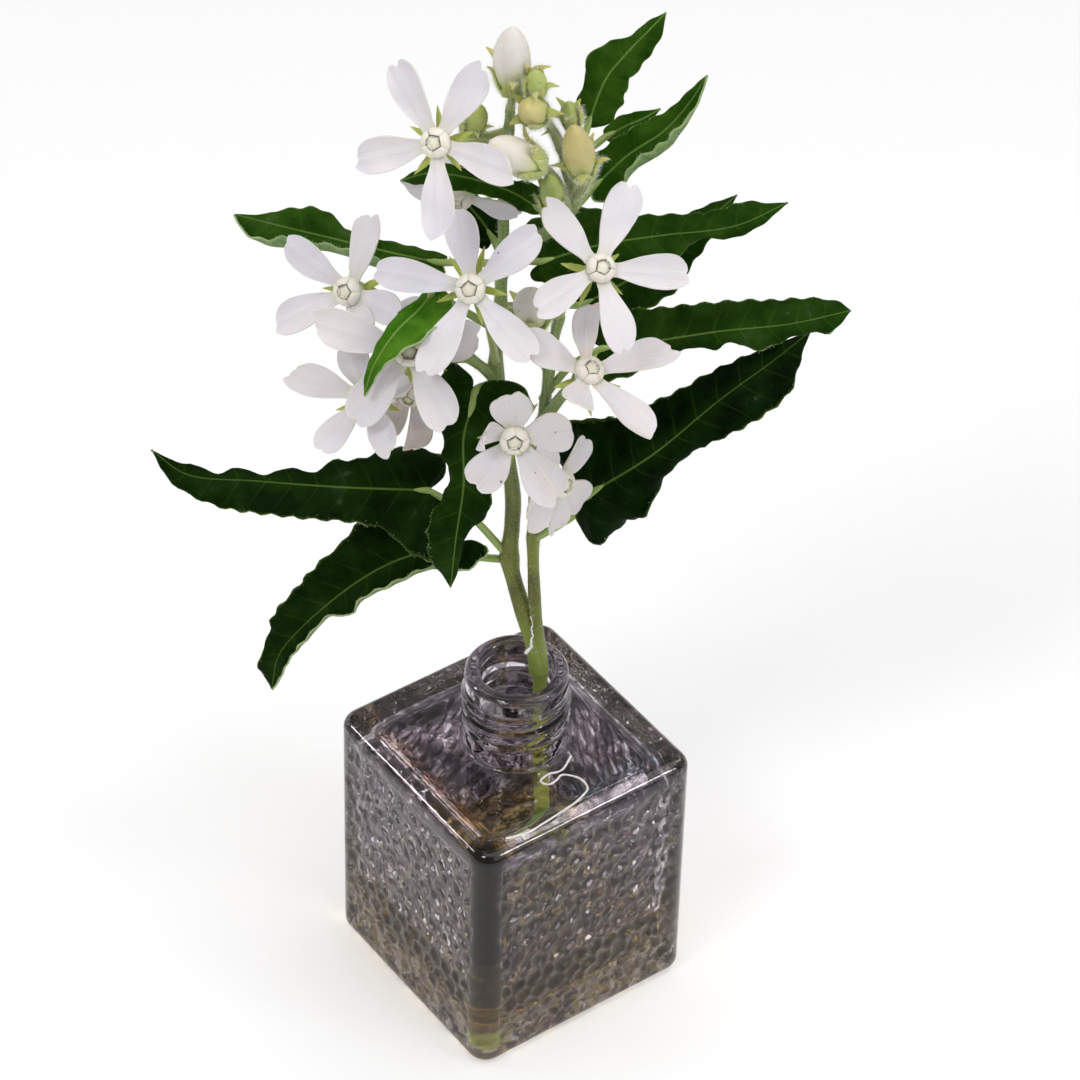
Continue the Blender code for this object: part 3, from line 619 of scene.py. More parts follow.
# %% Leaves
# For each leaf: petiole and midrib points, the way its upper face looks, the margin on its
# left and right as (place along the midrib, half width), and how far each margin rolls over.
LEAVES = {
    "leaf_low_left_long": (
        [(-2, 1.3, 104.5), (-9, 4, 116), (-16, 7, 123), (-29, 17, 123), (-40, 28, 122),
         (-49, 36, 122), (-54, 41, 127)], (-0.45, -0.55, 0.70),
        [(-3, 3), (-4.5, 8), (-1.5, 12.8), (3.5, 11.2), (7.6, 7.6), (13, 6.4), (20, 6.2),
         (29, 6), (37, 5.4), (44, 3.3), (48, 2)],
        [(-3, 3), (-2, 6.6), (4, 7.8), (9, 7), (13, 5.3), (18.5, 4.7), (21.5, 2.4), (27, 2.9),
         (31, 1.2), (36, 2.3), (39.5, 1), (43.5, 2.1), (49, 0.8)], (0, 0), 0.04),
    "leaf_low_left_drooping": (
        [(-2, 1.6, 103), (-9, 5, 105), (-13, 7, 108), (-23, 11, 105), (-32, 15, 98),
         (-40, 20, 86), (-42, 21, 76)], (-0.45, -0.65, 0.60),
        [(-5.5, 1), (-7.9, 3.7), (-3.8, 5.6), (0, 5), (3.5, 3.3), (10.4, 3.8), (17, 3.2),
         (21, 4), (25, 1.8), (32, 2.2), (40, 2), (45, 1.2)],
        [(-3, 3.5), (-1, 8), (5, 10), (12, 9.1), (16, 7.6), (21, 6.9), (29, 5.9), (35, 5.2),
         (40, 3.2), (45, 3)], (0.15, 0), 0.05),
    "leaf_front": (
        [(-6, 3, 146), (-10, 1, 148), (-12, -1, 147), (-16, -4, 143), (-18, -7, 135),
         (-21, -9, 125), (-22, -9, 114)], (-0.45, -0.65, 0.60),
        [(-5, 1.5), (-6.2, 6.8), (-2.8, 10.6), (1, 9.2), (8, 6.6), (16, 5.3), (20, 5),
         (23, 3), (26, 1.6), (30, 1.2), (34, 0.9)],
        [(-5, 1.5), (-7, 5.5), (-3, 7), (2, 5.5), (6, 4.1), (8.5, 3.5), (10.3, 4), (12.5, 2.8),
         (15.6, 2.7), (18.7, 3.9), (22.4, 5.2), (27, 5), (30, 4.3), (34, 2.6)], (0, 0), 0.1),
    "leaf_low_right": (
        [(0, -4, 111), (4, -11, 120), (6, -14, 127), (14, -21, 137), (25, -25, 147),
         (35, -28, 154), (43, -28, 157)], (-0.40, -0.55, 0.73),
        [(-4, 5), (-4, 11), (0.6, 13.7), (6, 11.8), (10.6, 9.9), (20, 7.6), (26.6, 5.9),
         (31, 5.2), (40, 3.4), (46, 1.8)],
        [(-5, 1), (-7.6, 4.5), (-6, 8.8), (0.8, 7.6), (6.5, 8.7), (11, 5.3), (16, 4.2),
         (21, 4.3), (31, 6.6), (40.4, 6.6), (46, 3.2)], (0, 0), 0.0),
    "leaf_mid_right": (
        [(2, -3, 143), (5, -7, 152), (9, -11, 157), (17, -18, 160), (26, -24, 162),
         (36, -30, 163), (45, -36, 166)], (-0.30, -0.45, 0.84),
        [(-3, 3), (-2, 7.5), (3, 8), (6, 6.7), (12, 6), (22, 5.5), (30, 5), (38, 4.1), (43, 2.2)],
        [(-3, 3), (-2, 6), (3, 6), (8, 4.6), (12.5, 3.5), (16, 2.3), (20.5, 3.2), (23.5, 2.3),
         (28, 4.2), (34, 2.5), (38, 2.5), (41, 3.1)], (0, 0), 0.14),
    "leaf_upper_right": (
        [(-2, 4, 172), (1, 3.5, 171), (4, 1, 171), (14, -3, 173), (24, -8, 174), (35, -14, 175),
         (44, -18, 179)], (-0.30, -0.40, 0.86),
        [(-3, 3), (-2, 7), (4, 8.6), (9.5, 8), (14, 5.8), (18.4, 4.5), (27, 3.6), (33, 3.8),
         (38.3, 3.8), (42.5, 1.4)],
        [(-2.5, 1.5), (-1.5, 3.6), (3, 4.8), (9, 5), (16, 5), (24, 4.4), (27, 2.4), (29.5, 1.3),
         (34, 2.1), (40, 1.6)], (0, 0), 0.2),
    "leaf_upper_right_behind": (
        [(-3, 4, 162), (7, 4, 158), (14, 2, 156), (22, 0, 159), (29, -2, 163), (37, -4, 169),
         (43, -5, 173)], (-0.50, -0.45, 0.74),
        [(-2.5, 2), (-2, 5), (4, 6), (12, 5), (20, 4), (28, 2.6)],
        [(-2.5, 2), (-2, 6), (4, 6.6), (11, 6.4), (15.5, 6.4), (20, 4.6), (26, 3), (31, 1.6)],
        (0, 0), 0.12),
    "leaf_top_right": (
        [(7, -3, 184), (8, -3, 193), (12, -0.5, 198), (15.5, -0.5, 206.5), (19, -2, 212),
         (22, -3.5, 216), (25.5, -4, 219)], (-0.60, -0.65, 0.45),
        [(1.5, 2.2), (4.7, 3.3), (7.7, 3.1), (10, 4.4), (13, 4.4), (16.3, 2.9), (18.5, 1.6),
         (22, 1.4)],
        [(1.5, 2.9), (5, 4.2), (8.7, 4.3), (12.3, 3.5), (16.4, 3.4), (20.7, 2.8), (23.5, 1.6)],
        (0, 0), 0.32),
    "leaf_top_right_small": (
        [(6, -3, 192.5), (12, 2, 189.5), (19, 3.5, 190.5), (22.5, 2, 192.5), (25.5, 1, 193.5),
         (28.5, 0, 195)], (-0.50, -0.55, 0.66),
        [(0.5, 1.3), (3, 2), (6, 1.8), (8.5, 1.1)], [(0.5, 1.3), (3, 2), (6, 1.7), (8.5, 1)],
        (0, 0), 0.45),
    "leaf_top_right_curled": (
        [(5.5, -2, 181), (9, -2, 183), (12.5, -2, 185.5), (19, -3, 190.5), (25.5, -5, 194.5),
         (29.5, -7, 200.5), (31.5, -8.5, 206)], (-0.50, -0.55, 0.66),
        [(-1, 2), (2, 4), (8, 3.6), (15, 3.2), (20, 2), (25, 1.3)],
        [(-1, 2), (2, 3.6), (8, 2.8), (15, 2.6), (20, 2), (25, 1.1)], (0, 0.55), 0.4),
    "leaf_upper_left": (
        [(-2, 4, 171), (-5, 10, 169), (-8, 15, 167), (-14, 21, 168), (-21, 27, 170),
         (-28, 35, 171), (-34, 42, 172)], (-0.45, -0.50, 0.74),
        [(-1, 2), (4, 3), (11, 3), (17.3, 1.9), (22.8, 2.2), (30, 3.8), (35, 2.6)],
        [(-1, 1.5), (2, 1.8), (7.5, 2), (12.4, 1.9), (17.4, 2.1), (19.5, 3.4), (22.7, 4.6),
         (26.5, 4.2), (30, 2.9), (34, 1)], (0.6, 0), 0.3),
    "leaf_left_bright": (
        [(-4.5, 2, 158.5), (-13, 4, 167), (-20, 0.5, 175), (-25.5, -3.5, 176.5),
         (-31.5, -5, 175), (-35.5, -4.5, 169.5), (-37, -3.5, 162.5)], (-0.35, -0.65, 0.67),
        [(-0.5, 2), (1.3, 3.5), (6, 4.4), (11.4, 4.4), (14, 3.5), (17.2, 2.1), (21.3, 1.2),
         (25, 0.7)],
        [(1, 1.2), (5, 1.4), (9.7, 2), (15.7, 1.6), (21, 1), (24, 0.8)], (0.35, 0), 1.0),
    "leaf_under_buds": (
        [(4.5, -1, 180), (2.5, -2, 183.5), (1, -2.5, 186), (-5, -1.5, 192), (-12, 0.5, 196.5),
         (-17.5, 4.5, 197.5), (-20.5, 9.5, 194)], (-0.40, -0.50, 0.77),
        [(0, 1), (4.3, 2.1), (9, 1.9), (15, 2.4), (22, 2.6), (28, 1.4)],
        [(0, 1.5), (3.3, 3.4), (9, 2), (14.6, 1.4), (22, 1.8), (28, 1)], (0, 0), 0.3),
    "leaf_behind_middle": (
        [(-2, 4, 171), (0, 8, 170), (0, 10, 172), (-1, 12, 175), (-3, 14, 179), (-4, 15, 184)],
        (-0.60, -0.60, 0.53),
        [(-1, 2), (2, 4), (6, 3.8), (10, 2)], [(-1, 2), (2, 4), (6, 3.8), (10, 2)], (0, 0), 0.05),
}

# %% Open flowers
# Centre, compass and height angle that the flower faces, where its pedicel leaves the stalk,
# and each petal's turn about the centre, its length and its lift out of the flower's plane.
FLOWERS = {
    "flower_upper_left": ((-23, -5, 212), (-147, 35), (-1.5, 4.5, 196),
                          [(134, 15, 7), (206, 14, 7), (286, 15.5, 7), (355, 14.5, 11),
                           (430, 15, 10)]),
    "flower_upper_behind": ((-10.5, 6, 189), (-143, -20), (-1.5, 5, 187),
                            [(114, 10, -25), (191, 11, -3), (258, 12.5, 8), (336, 11, 0),
                             (410, 10, -30)]),
    "flower_middle": ((-19.5, -10.5, 183), (-136, 33), (-4, 3, 150),
                      [(103, 14, 15), (175, 16.5, 11), (251, 16.5, 11), (319, 16, 12),
                       (404, 15.5, 12)]),
    "flower_right": ((0, -21, 185.5), (-99, 44), (2.5, -6.5, 164),
                     [(119, 15, 16), (195, 15, 15), (269, 15, 14), (339, 15.5, 13),
                      (414, 15.5, 12)]),
    "flower_right_low": ((-5.5, -26, 168.5), (-81, 57), (1, -14, 153.5),
                         [(59, 13, 12), (133, 14, 20), (205, 14, 28), (276, 15.5, 14),
                          (344, 16, 18)]),
    "flower_left": ((-30.5, 10.5, 173.5), (-157, 30), (-16.5, 4.5, 160.5),
                    [(161, 14, 17), (222, 14.5, 17), (313, 9.5, 15), (361, 13.5, 26),
                     (444, 14.5, 13)]),
    "flower_left_low": ((-32, 4, 154.5), (-160, 41), (-16, 4.5, 160),
                        [(123, 10, 29), (183, 14, 19), (258, 12, 24), (331, 13, 23),
                         (415, 9.5, 5)]),
    "flower_under_leaf": ((-28.2, -4.7, 169.1), (-130, 38), (-13, 3, 158),
                          [(92, 12, -36), (166, 17, 8), (232, 16.5, -14), (304, 14.5, 8),
                           (374, 13, -20)]),
    "flower_fading": ((-17.5, 10.5, 144), (-142, -5), (-10, 3, 154),
                      [(93, 11.5, 12), (171, 7, 41), (240, 10, 17), (300, 11.5, 39),
                       (378, 10.5, 31)]),
    "flower_low": ((-16.5, -20, 154.5), (-124, 14), (1, -4, 128),
                   [(157, 9, 24), (231, 11, 17), (305, 13, 21), (377, 10.5, 19),
                    (453, 10.5, 25)]),
    "flower_low_behind": ((-3, -15.5, 134.5), (-77, 12), (0.5, -4, 121),
                          [(112, 10.5, 2), (184, 11, 13), (251, 9, 6), (307, 10, 0),
                           (392, 9.5, 8)]),
}

# %% Buds: base, tip, greatest radius, where the pedicel begins, and how ripe (0 green, 1 white)
BUDS = {
    "bud_top_large": ((-3, 1, 212), (-4, 0, 225), 3.3, (-2, 3, 206), 1.0),
    "bud_top_small": ((-2, -4, 213), (-3, -5, 218.5), 1.9, (4, -3, 200), 0.0),
    "bud_yellowish": ((-2.2, -5.2, 209.5), (-6.8, -8.0, 214), 2.5, (4.5, -3, 198), 0.6),
    "bud_cream_left": ((-4.5, -8, 201.5), (-13, -6.5, 209), 3.2, (7, -3, 183.5), 0.9),
    "bud_cream_right": ((4, -10.5, 198), (0, -12.5, 210.5), 2.8, (7.5, -3, 185), 0.6),
    "bud_green_low": ((-1, -8, 191), (-3, -10, 200), 2.0, (5.5, -1.5, 180.5), 0.1),
    "bud_green_middle": ((6, -4.5, 203.5), (4, -5.5, 209.5), 1.7, (5.5, -3, 194), 0.1),
    "bud_green_left": ((-9, 5, 202), (-8.5, 3, 209), 2.0, (-1.5, 4, 200), 0.15),
    "bud_round_white": ((-2, -5, 164), (-4, -7, 173), 3.3, (2, -4, 151), 1.0),
}
print(len(STEMS), "stems,", len(LEAVES), "leaves,", len(FLOWERS), "flowers,", len(BUDS), "buds")


# %% [markdown]
# ## Skins from grids of points
# Leaves, petals, stems and buds are all smooth skins over rows of points. One class turns
# such rows into faces. It also writes a map in millimetres on each skin, so that veins and
# streaks have real sizes, and three numbers at each point: how near the margin it is, how
# downy the plant is there, and its tone.

# %% Curves and directions
def travelled(path):
    """Distance along a path at each of its points."""
    return np.append(0.0, np.cumsum(np.linalg.norm(np.diff(path, axis=0), axis=1)))


def at(values, places, wanted):
    """Rows of values between the given places, at the wanted places."""
    return np.stack([np.interp(wanted, places, column) for column in values.T], axis=-1)


def curve(points, count):
    """A smooth curve through the points, sampled at even steps of its length."""
    knots = np.array(points, float)
    knots = np.vstack([2 * knots[0] - knots[1], knots, 2 * knots[-1] - knots[-2]])
    along = np.linspace(0, len(knots) - 3, 12 * len(knots))
    k = np.minimum(along.astype(int), len(knots) - 4)
    t = (along - k)[:, None]
    a, b, c, d = (knots[k + i] for i in range(4))
    fine = 0.5 * (2 * b + (c - a) * t + (2 * a - 5 * b + 4 * c - d) * t ** 2
                  + (3 * b - a - 3 * c + d) * t ** 3)
    far = travelled(fine)
    return at(fine, far, np.linspace(0, far[-1], count))


def unit(vectors):
    vectors = np.asarray(vectors, float)
    return vectors / np.linalg.norm(vectors, axis=-1, keepdims=True)


def full_turn(sides):
    return np.linspace(0, 2 * pi, sides, endpoint=False)


def frames(path, face=None):
    """Direction, side and upward vector along a path, turned as little as possible."""
    ahead = unit(np.gradient(path, axis=0))
    if face is None:
        side = [unit(np.cross(ahead[0], (0.3, 1.0, 0.2)))]
        for way in ahead[1:]:
            side.append(unit(side[-1] - way * side[-1].dot(way)))
        side = np.array(side)
    else:
        side = unit(np.cross(face, ahead))
    return ahead, side, np.cross(ahead, side)


# %% The class that makes the faces
class Piece:
    """Skins, in millimetres, that become one object."""

    def __init__(self, name):
        self.name, self.bm = name, bmesh.new()
        self.map = self.bm.loops.layers.uv.new("measure")
        self.layers = [self.bm.verts.layers.float.new(key) for key in ("edge", "down", "tone")]

    def face(self, verts, slot, places=()):
        made = self.bm.faces.new(verts)
        made.material_index = slot
        for loop, place in zip(made.loops, places):
            loop[self.map].uv = place

    def grid(self, points, across, along, slot=0, edge=0.0, down=0.0, tone=0.0, wrap=False,
             flip=False):
        """Quads between neighbouring rows and columns; a wrapped grid closes on itself."""
        rows, columns = points.shape[:2]
        verts = [[self.bm.verts.new(p * MM) for p in row] for row in points]
        for layer, trait in zip(self.layers, (edge, down, tone)):
            for row, values in zip(verts, np.broadcast_to(trait, (rows, columns))):
                for vert, value in zip(row, values):
                    vert[layer] = value
        for i in range(rows - 1):
            for j in range(columns if wrap else columns - 1):
                corners = [(i, j), (i, j + 1), (i + 1, j + 1), (i + 1, j)]
                corners = corners[::-1] if flip else corners
                self.face([verts[a][b % columns] for a, b in corners], slot,
                          [(across[a, b], along[a, b]) for a, b in corners])
        return verts

    def sheet(self, points, across, along, thickness, slots=(0, 1), **traits):
        """A closed thin body: the grid, a copy set back by the thickness, and a rim."""
        rows_way, columns_way = np.gradient(points, axis=(0, 1))
        normal = np.cross(columns_way, rows_way)
        normal = normal / np.maximum(np.linalg.norm(normal, axis=-1, keepdims=True), 1e-6)
        normal[0], normal[-1] = normal[1], normal[-2]
        rims = []
        for set_back, slot in ((0.0, slots[0]), (thickness, slots[1])):
            rows = self.grid(points - normal * set_back, across, along, slot,
                             flip=set_back > 0, **traits)
            rims.append(rows[0] + [r[-1] for r in rows[1:]] + rows[-1][-2::-1]
                        + [r[0] for r in rows[-2:0:-1]])
        front, back = rims
        for i in range(len(front)):
            self.face((front[i - 1], back[i - 1], back[i], front[i]), slots[1])

    def tube(self, path, radii, slot=0, sides=10, flat=1.0, face=None, **traits):
        """A tube along the path; radii may differ at each point and each side."""
        path = np.asarray(path, float)
        radii = np.broadcast_to(np.asarray(radii, float).reshape(len(path), -1), (len(path), sides))
        _, side, up = frames(path, face)
        turn = np.linspace(0, 2 * pi, sides + 1)
        ways = (side[:, None] * np.cos(turn[:-1])[:, None]
                + up[:, None] * flat * np.sin(turn[:-1])[:, None])
        across = radii.mean(axis=1)[:, None] * turn
        along = np.repeat(travelled(path)[:, None], sides + 1, axis=1)
        rows = self.grid(path[:, None] + ways * radii[..., None], across, along, slot, wrap=True,
                         **traits)
        for end in (0, -1):
            self.face(rows[end], slot, [(0.0, along[end, 0])] * sides)

    def done(self, materials, node, slot):
        """Makes the object and hands it over in place of its plain solid."""
        thing = to_object(self.name, self.bm, smooth_angle=50)
        for material in materials:
            thing.data.materials.append(material)
        hand_over(thing, node)
        return thing


print("grid builder ready")

# %% [markdown]
# ## Down
# Fine white hairs cover the young stems, the flower stalks, the buds and the leaf margins,
# and make the plant look soft against the light. Geometry Nodes scatters points over each
# skin, more where its "down" number is high, and stands a tiny bent cone on each. A hair has
# only six faces, because there are thousands of them.

# %% The tree that grows hairs
def down_tree():
    tree = Tree("down", {"Hairs Per Square Metre": 2.0e6, "Length": 0.0007, "Radius": 0.000022,
                         "Lean": 0.6, "Seed": 4})
    bare, length = tree.given("Geometry"), tree.given("Length")
    density = tree.given("Hairs Per Square Metre") * tree.node(
        "GeometryNodeInputNamedAttribute", {"data_type": "FLOAT"}, {"Name": "down"})
    spread = tree.node("GeometryNodeDistributePointsOnFaces", {"distribute_method": "RANDOM"},
                       {"Mesh": bare, "Density": density, "Seed": tree.given("Seed")})
    cone = tree.node("GeometryNodeMeshCone", {"fill_type": "NONE"},
                     {"Vertices": 3, "Side Segments": 2, "Radius Top": 0.0,
                      "Radius Bottom": tree.given("Radius"), "Depth": length})
    share = tree.node("GeometryNodeInputPosition").split()[2] / length
    bend = tree.node("ShaderNodeCombineXYZ", {}, (share * share * (length * 0.35),))
    cone = tree.node("GeometryNodeSetPosition", {}, {"Geometry": cone, "Offset": bend})

    def chance(low, high):
        return tree.node("FunctionNodeRandomValue", {"data_type": "FLOAT_VECTOR"}, (low, high))

    lean = chance((-1.0, -1.0, -1.0), (1.0, 1.0, 1.0)).vector("SCALE", scale=tree.given("Lean"))
    way = Value(tree, spread.socket.node.outputs["Normal"]).vector("ADD", lean)
    turn = tree.node("FunctionNodeAlignRotationToVector", {"axis": "Z"}, {"Vector": way})
    hairs = tree.node("GeometryNodeInstanceOnPoints", {},
                      {"Points": spread, "Instance": cone, "Rotation": turn,
                       "Scale": chance((0.5, 0.5, 0.45), (1.0, 1.0, 1.3))})
    both = tree.node("GeometryNodeJoinGeometry")
    for part in (tree.clad(hairs), bare):
        tree.join(part, both.socket.node.inputs[0])
    tree.join(both, tree.end.inputs["Geometry"])
    return tree


def hair_finish():
    finish = Finish("down")
    shade = finish.noise(finish.place, 700.0).spread()
    return finish.set(Base_Color=shade.mix((0.62, 0.64, 0.50), (0.90, 0.90, 0.86)), Roughness=0.6)


DOWN, HAIR = down_tree(), hair_finish()
HAIRS, HAIR_FACES = [], 6


def grow_down(thing, seed, density=2.0e6, length=0.0007, radius=0.000022, lean=0.6):
    """Adds hairs to a piece, as part of its own mesh."""
    before = len(thing.data.polygons)
    settle(thing, DOWN, {"Hairs Per Square Metre": density, "Length": length, "Radius": radius,
                         "Lean": lean, "Seed": seed}, HAIR)
    HAIRS.append((len(thing.data.polygons) - before) // HAIR_FACES)


print("hair has", HAIR_FACES, "faces")

# %% [markdown]
# ## Leaves
# A tweedia leaf is a long, narrow heart: two round lobes at the stalk, then a blade that
# waves along its margins. A flat cut-out would look like paper, so each blade is a sheet
# whose rows run from the midrib to the margin, like its side veins. Where a margin looks
# narrow, the true margin is as wide as elsewhere but rolls out of sight. The roll is found
# from the two widths: a strip that bends more and more reaches less far. A margin that
# rises or drops also slips sideways as seen from the front, so it is moved back by that much.

# %% How far a bending strip reaches
ROLLS = np.linspace(0.0, 3.0, 31)
STEPS = np.linspace(0.0, 1.0, 41)
bends = ROLLS[:, None] * STEPS ** 1.6
STRIP = np.cumsum([np.cos(bends), np.sin(bends)], axis=2) / len(STEPS)
STRIP[:, :, 0] = 0.0
STRIP_REACH = STRIP[0].max(axis=1)
print("a strip rolled by 90 degrees reaches", np.interp(pi / 2, ROLLS, STRIP_REACH).round(2))


def rolled_strip(ratio, shares):
    """Outward and upward place, for strips that reach this share of their width."""
    roll = np.interp(1 - ratio, 1 - STRIP_REACH, ROLLS)
    level = np.clip(roll / ROLLS[1], 0, len(ROLLS) - 1.001)
    k = level.astype(int)
    t = (level - k)[:, None]
    return [np.stack([np.interp(shares, STEPS, row) for row in (1 - t) * way[k] + t * way[k + 1]])
            for way in STRIP]


# %% The margins of one blade
VIEW = np.array(away)
LEAF_ROWS, HALF_COLUMNS = 72, 11
LEAF_THICKNESS, VEIN_SPACING = 0.34, 5.0


def blade_side(margin, other, fold, length):
    """Margin of one side: place along, visible half width and true half width of each row."""
    line, mate = (curve([(0, 0.05)] + side + [(length, 0.05)], LEAF_ROWS)
                  for side in (margin, other))
    seen = np.maximum(line[:, 1], 0.05)
    rows = np.arange(LEAF_ROWS)
    near = np.exp(-((rows[:, None] - rows) / 7.0) ** 2)
    wide = (np.maximum(seen, mate[:, 1] * 0.8) * near).max(axis=1)
    wide = np.minimum(wide, seen / 0.6)
    if fold:
        swell = np.sin(pi * np.clip(rows / LEAF_ROWS * 1.05 - 0.05, 0, 1)) ** 0.7
        wide = np.maximum(wide, seen / (1 - fold * swell))
    return line[:, 0], seen, np.maximum(wide, seen)


# %% One blade with its midrib and petiole
def half_blade(midrib, axes, foot, side, way, rolls_up, rng):
    """Points, and their places across and along, from the midrib to one margin."""
    reach, seen, wide = side
    shares = np.linspace(0, 1, HALF_COLUMNS)
    length = foot[-1]
    places = np.linspace(0, length, len(midrib))
    out, lift = rolled_strip(seen / wide, shares)
    across = wide[:, None] * shares
    along = foot[:, None] + (reach - foot)[:, None] * shares
    vein = (along - 0.55 * across) / VEIN_SPACING + 0.25 * way
    waves = np.sin(along * 0.62 + rng.uniform(0, 6)) + 0.6 * np.sin(along * 1.13 + way)
    waves = waves + 0.5 * np.sin(along * 2.1 + rng.uniform(0, 6))
    scallop = 0.28 * np.sin(along * 1.6 + rng.uniform(0, 6)) * shares ** 5
    taper = np.clip(wide / 5.0, 0.0, 1.0)[:, None]
    height = ((1 if rolls_up else -1) * wide[:, None] * lift
              + 0.9 * (1 - np.exp(-across / 2.5)) * taper
              + 0.16 * np.cos(2 * pi * vein) * np.sin(pi * shares) ** 0.8 * taper
              + 0.50 * waves * shares ** 2.5 * taper)
    inside = np.clip(along, 0, length)
    base, go, left_way, rise = (at(v, places, inside.ravel()).reshape(*inside.shape, 3)
                                for v in (midrib, *axes))
    outward = left_way * way
    flat_out = outward - (outward @ VIEW)[..., None] * VIEW
    slip = (rise * flat_out).sum(axis=-1) / np.maximum((flat_out ** 2).sum(axis=-1), 0.3)
    slip = (height * slip)[:, -1:] * shares
    where = (base + go * (along - inside)[..., None]
             + outward * (wide[:, None] * out - slip + scallop * taper)[..., None]
             + rise * height[..., None])
    return where, across * way, along


def build_leaf(name, points, face, left, right, folds, tone, seed):
    rng = np.random.default_rng(seed)
    midrib = curve(points[2:], 161)
    length = travelled(midrib)[-1]
    axes = frames(midrib, unit(face))
    sides = [blade_side(left, right, folds[0], length), blade_side(right, left, folds[1], length)]
    foot = np.maximum.accumulate(np.mean([s - 0.45 * w for s, w, _ in sides], axis=0))
    foot = np.clip(foot, 0, None) + np.linspace(0, 0.6, LEAF_ROWS)
    foot *= length / foot[-1]
    halves = [half_blade(midrib, axes, foot, side, way, fold, rng)
              for side, way, fold in zip(sides, (1, -1), folds)]
    piece = Piece(name)
    grids = [np.concatenate([a[:, ::-1], b[:, 1:]], axis=1) for a, b in zip(*halves)]
    edge = np.abs(np.linspace(-1, 1, 2 * HALF_COLUMNS - 1))
    piece.sheet(*grids, LEAF_THICKNESS, edge=edge, down=np.clip(edge * 12 - 11, 0, 1), tone=tone)
    petiole = curve(points[:3], 24)[:-1]
    places = np.linspace(0, length, len(midrib))[::3]
    slim = 0.62 * (1 - places / length) ** 0.8 + 0.05
    rib = midrib[::3] - axes[2][::3] * np.minimum(slim + 0.05, places * 0.25)[:, None]
    path = np.concatenate([petiole, rib])
    far = travelled(path)
    stalk, joint = far[:len(petiole)], far[len(petiole)]
    piece.tube(path, np.append(0.78 - 0.11 * stalk / joint, slim), 2, 10,
               down=np.where(far < joint, 0.8, 0.25)[:, None], tone=tone)
    return piece


# %% [markdown]
# The upper face is dark and glossy, with a pale midrib, fainter side veins that arch towards
# the tip, and a light line along the margin. The back is dull and grey-green. All of this is
# worked out from the map in millimetres.

# %% Leaf finishes
def side_veins(finish, patches, thin, wide):
    """Distance from the midrib, and a mask of the veins that leave it at a slant."""
    across, along = finish.measure
    side = across.absolute()
    stripe = ((along - side * 0.55 + (patches - 0.5) * 1.2) / VEIN_SPACING + 0.5).fraction() - 0.5
    return side, (stripe.absolute() * VEIN_SPACING).fall(thin, wide)


def leaf_front():
    finish = Finish("leaf_front")
    place, along = finish.place, finish.measure[1]
    edge, tone = finish.attribute("edge"), finish.attribute("tone")
    patches = finish.noise(place, 160.0, 4.0, 0.6)
    fine = finish.noise(place, 1400.0, 3.0, 0.6)
    side, vein = side_veins(finish, patches, 0.06, 0.38)
    vein = vein * side.ramp(0.0, 5.5, 1.0, 0.25) * edge.fall(0.75, 0.98)
    net = finish.node("ShaderNodeTexVoronoi", {"feature": "DISTANCE_TO_EDGE"},
                      {"Vector": place, "Scale": 900.0}).fall(0.0, 0.12)
    rib = (side - along.ramp(0.0, 40.0, 0.12, 0.02)).fall(-0.06, 0.14)
    patchy = patches.ramp(0.35, 0.65)
    blade = tone.mix(patchy.mix((0.0008, 0.0042, 0.0003), (0.0030, 0.0135, 0.0009)),
                     patchy.mix((0.034, 0.125, 0.006), (0.080, 0.200, 0.014)))
    colour = paint(blade, (side.fall(0.1, 2.2, 0.08), (0.03, 0.09, 0.008)),
                   (net * 0.03, (0.03, 0.09, 0.009)),
                   (vein * (0.09 + tone * 0.10), (0.08, 0.17, 0.02)),
                   (edge.ramp(0.93, 0.99) * 0.26, (0.14, 0.24, 0.04)),
                   (rib * (0.38 + tone * 0.4), (0.20, 0.32, 0.07)))
    relief = (vein + rib) * -0.6 + fine * 0.30 + net * -0.15
    return finish.set(Base_Color=colour, Roughness=fine.spread(0.42, 0.55) + vein * 0.1,
                      Specular_IOR_Level=0.02, Coat_Weight=patches.ramp(0.58, 0.72, 0.0, 0.18),
                      Coat_Roughness=0.20, Normal=finish.bump(relief, 0.00016, 0.7))


def leaf_back():
    finish = Finish("leaf_back")
    patches = finish.noise(finish.place, 200.0, 4.0, 0.6)
    fine = finish.noise(finish.place, 1800.0, 2.0, 0.6)
    side, vein = side_veins(finish, patches, 0.08, 0.5)
    vein = vein * side.ramp(0.0, 6.0, 1.0, 0.3)
    colour = paint(patches.spread().mix((0.100, 0.175, 0.055), (0.165, 0.250, 0.090)),
                   (vein * 0.5, (0.32, 0.40, 0.20)),
                   (fine.ramp(0.5, 0.75) * 0.35, (0.45, 0.50, 0.36)),
                   (finish.attribute("edge").ramp(0.9, 1.0) * 0.5, (0.34, 0.42, 0.20)))
    return finish.set(Base_Color=colour, Roughness=fine.spread(0.55, 0.75),
                      Specular_IOR_Level=0.2, Normal=finish.bump(fine * 0.4 + vein, 0.0002, 0.6))


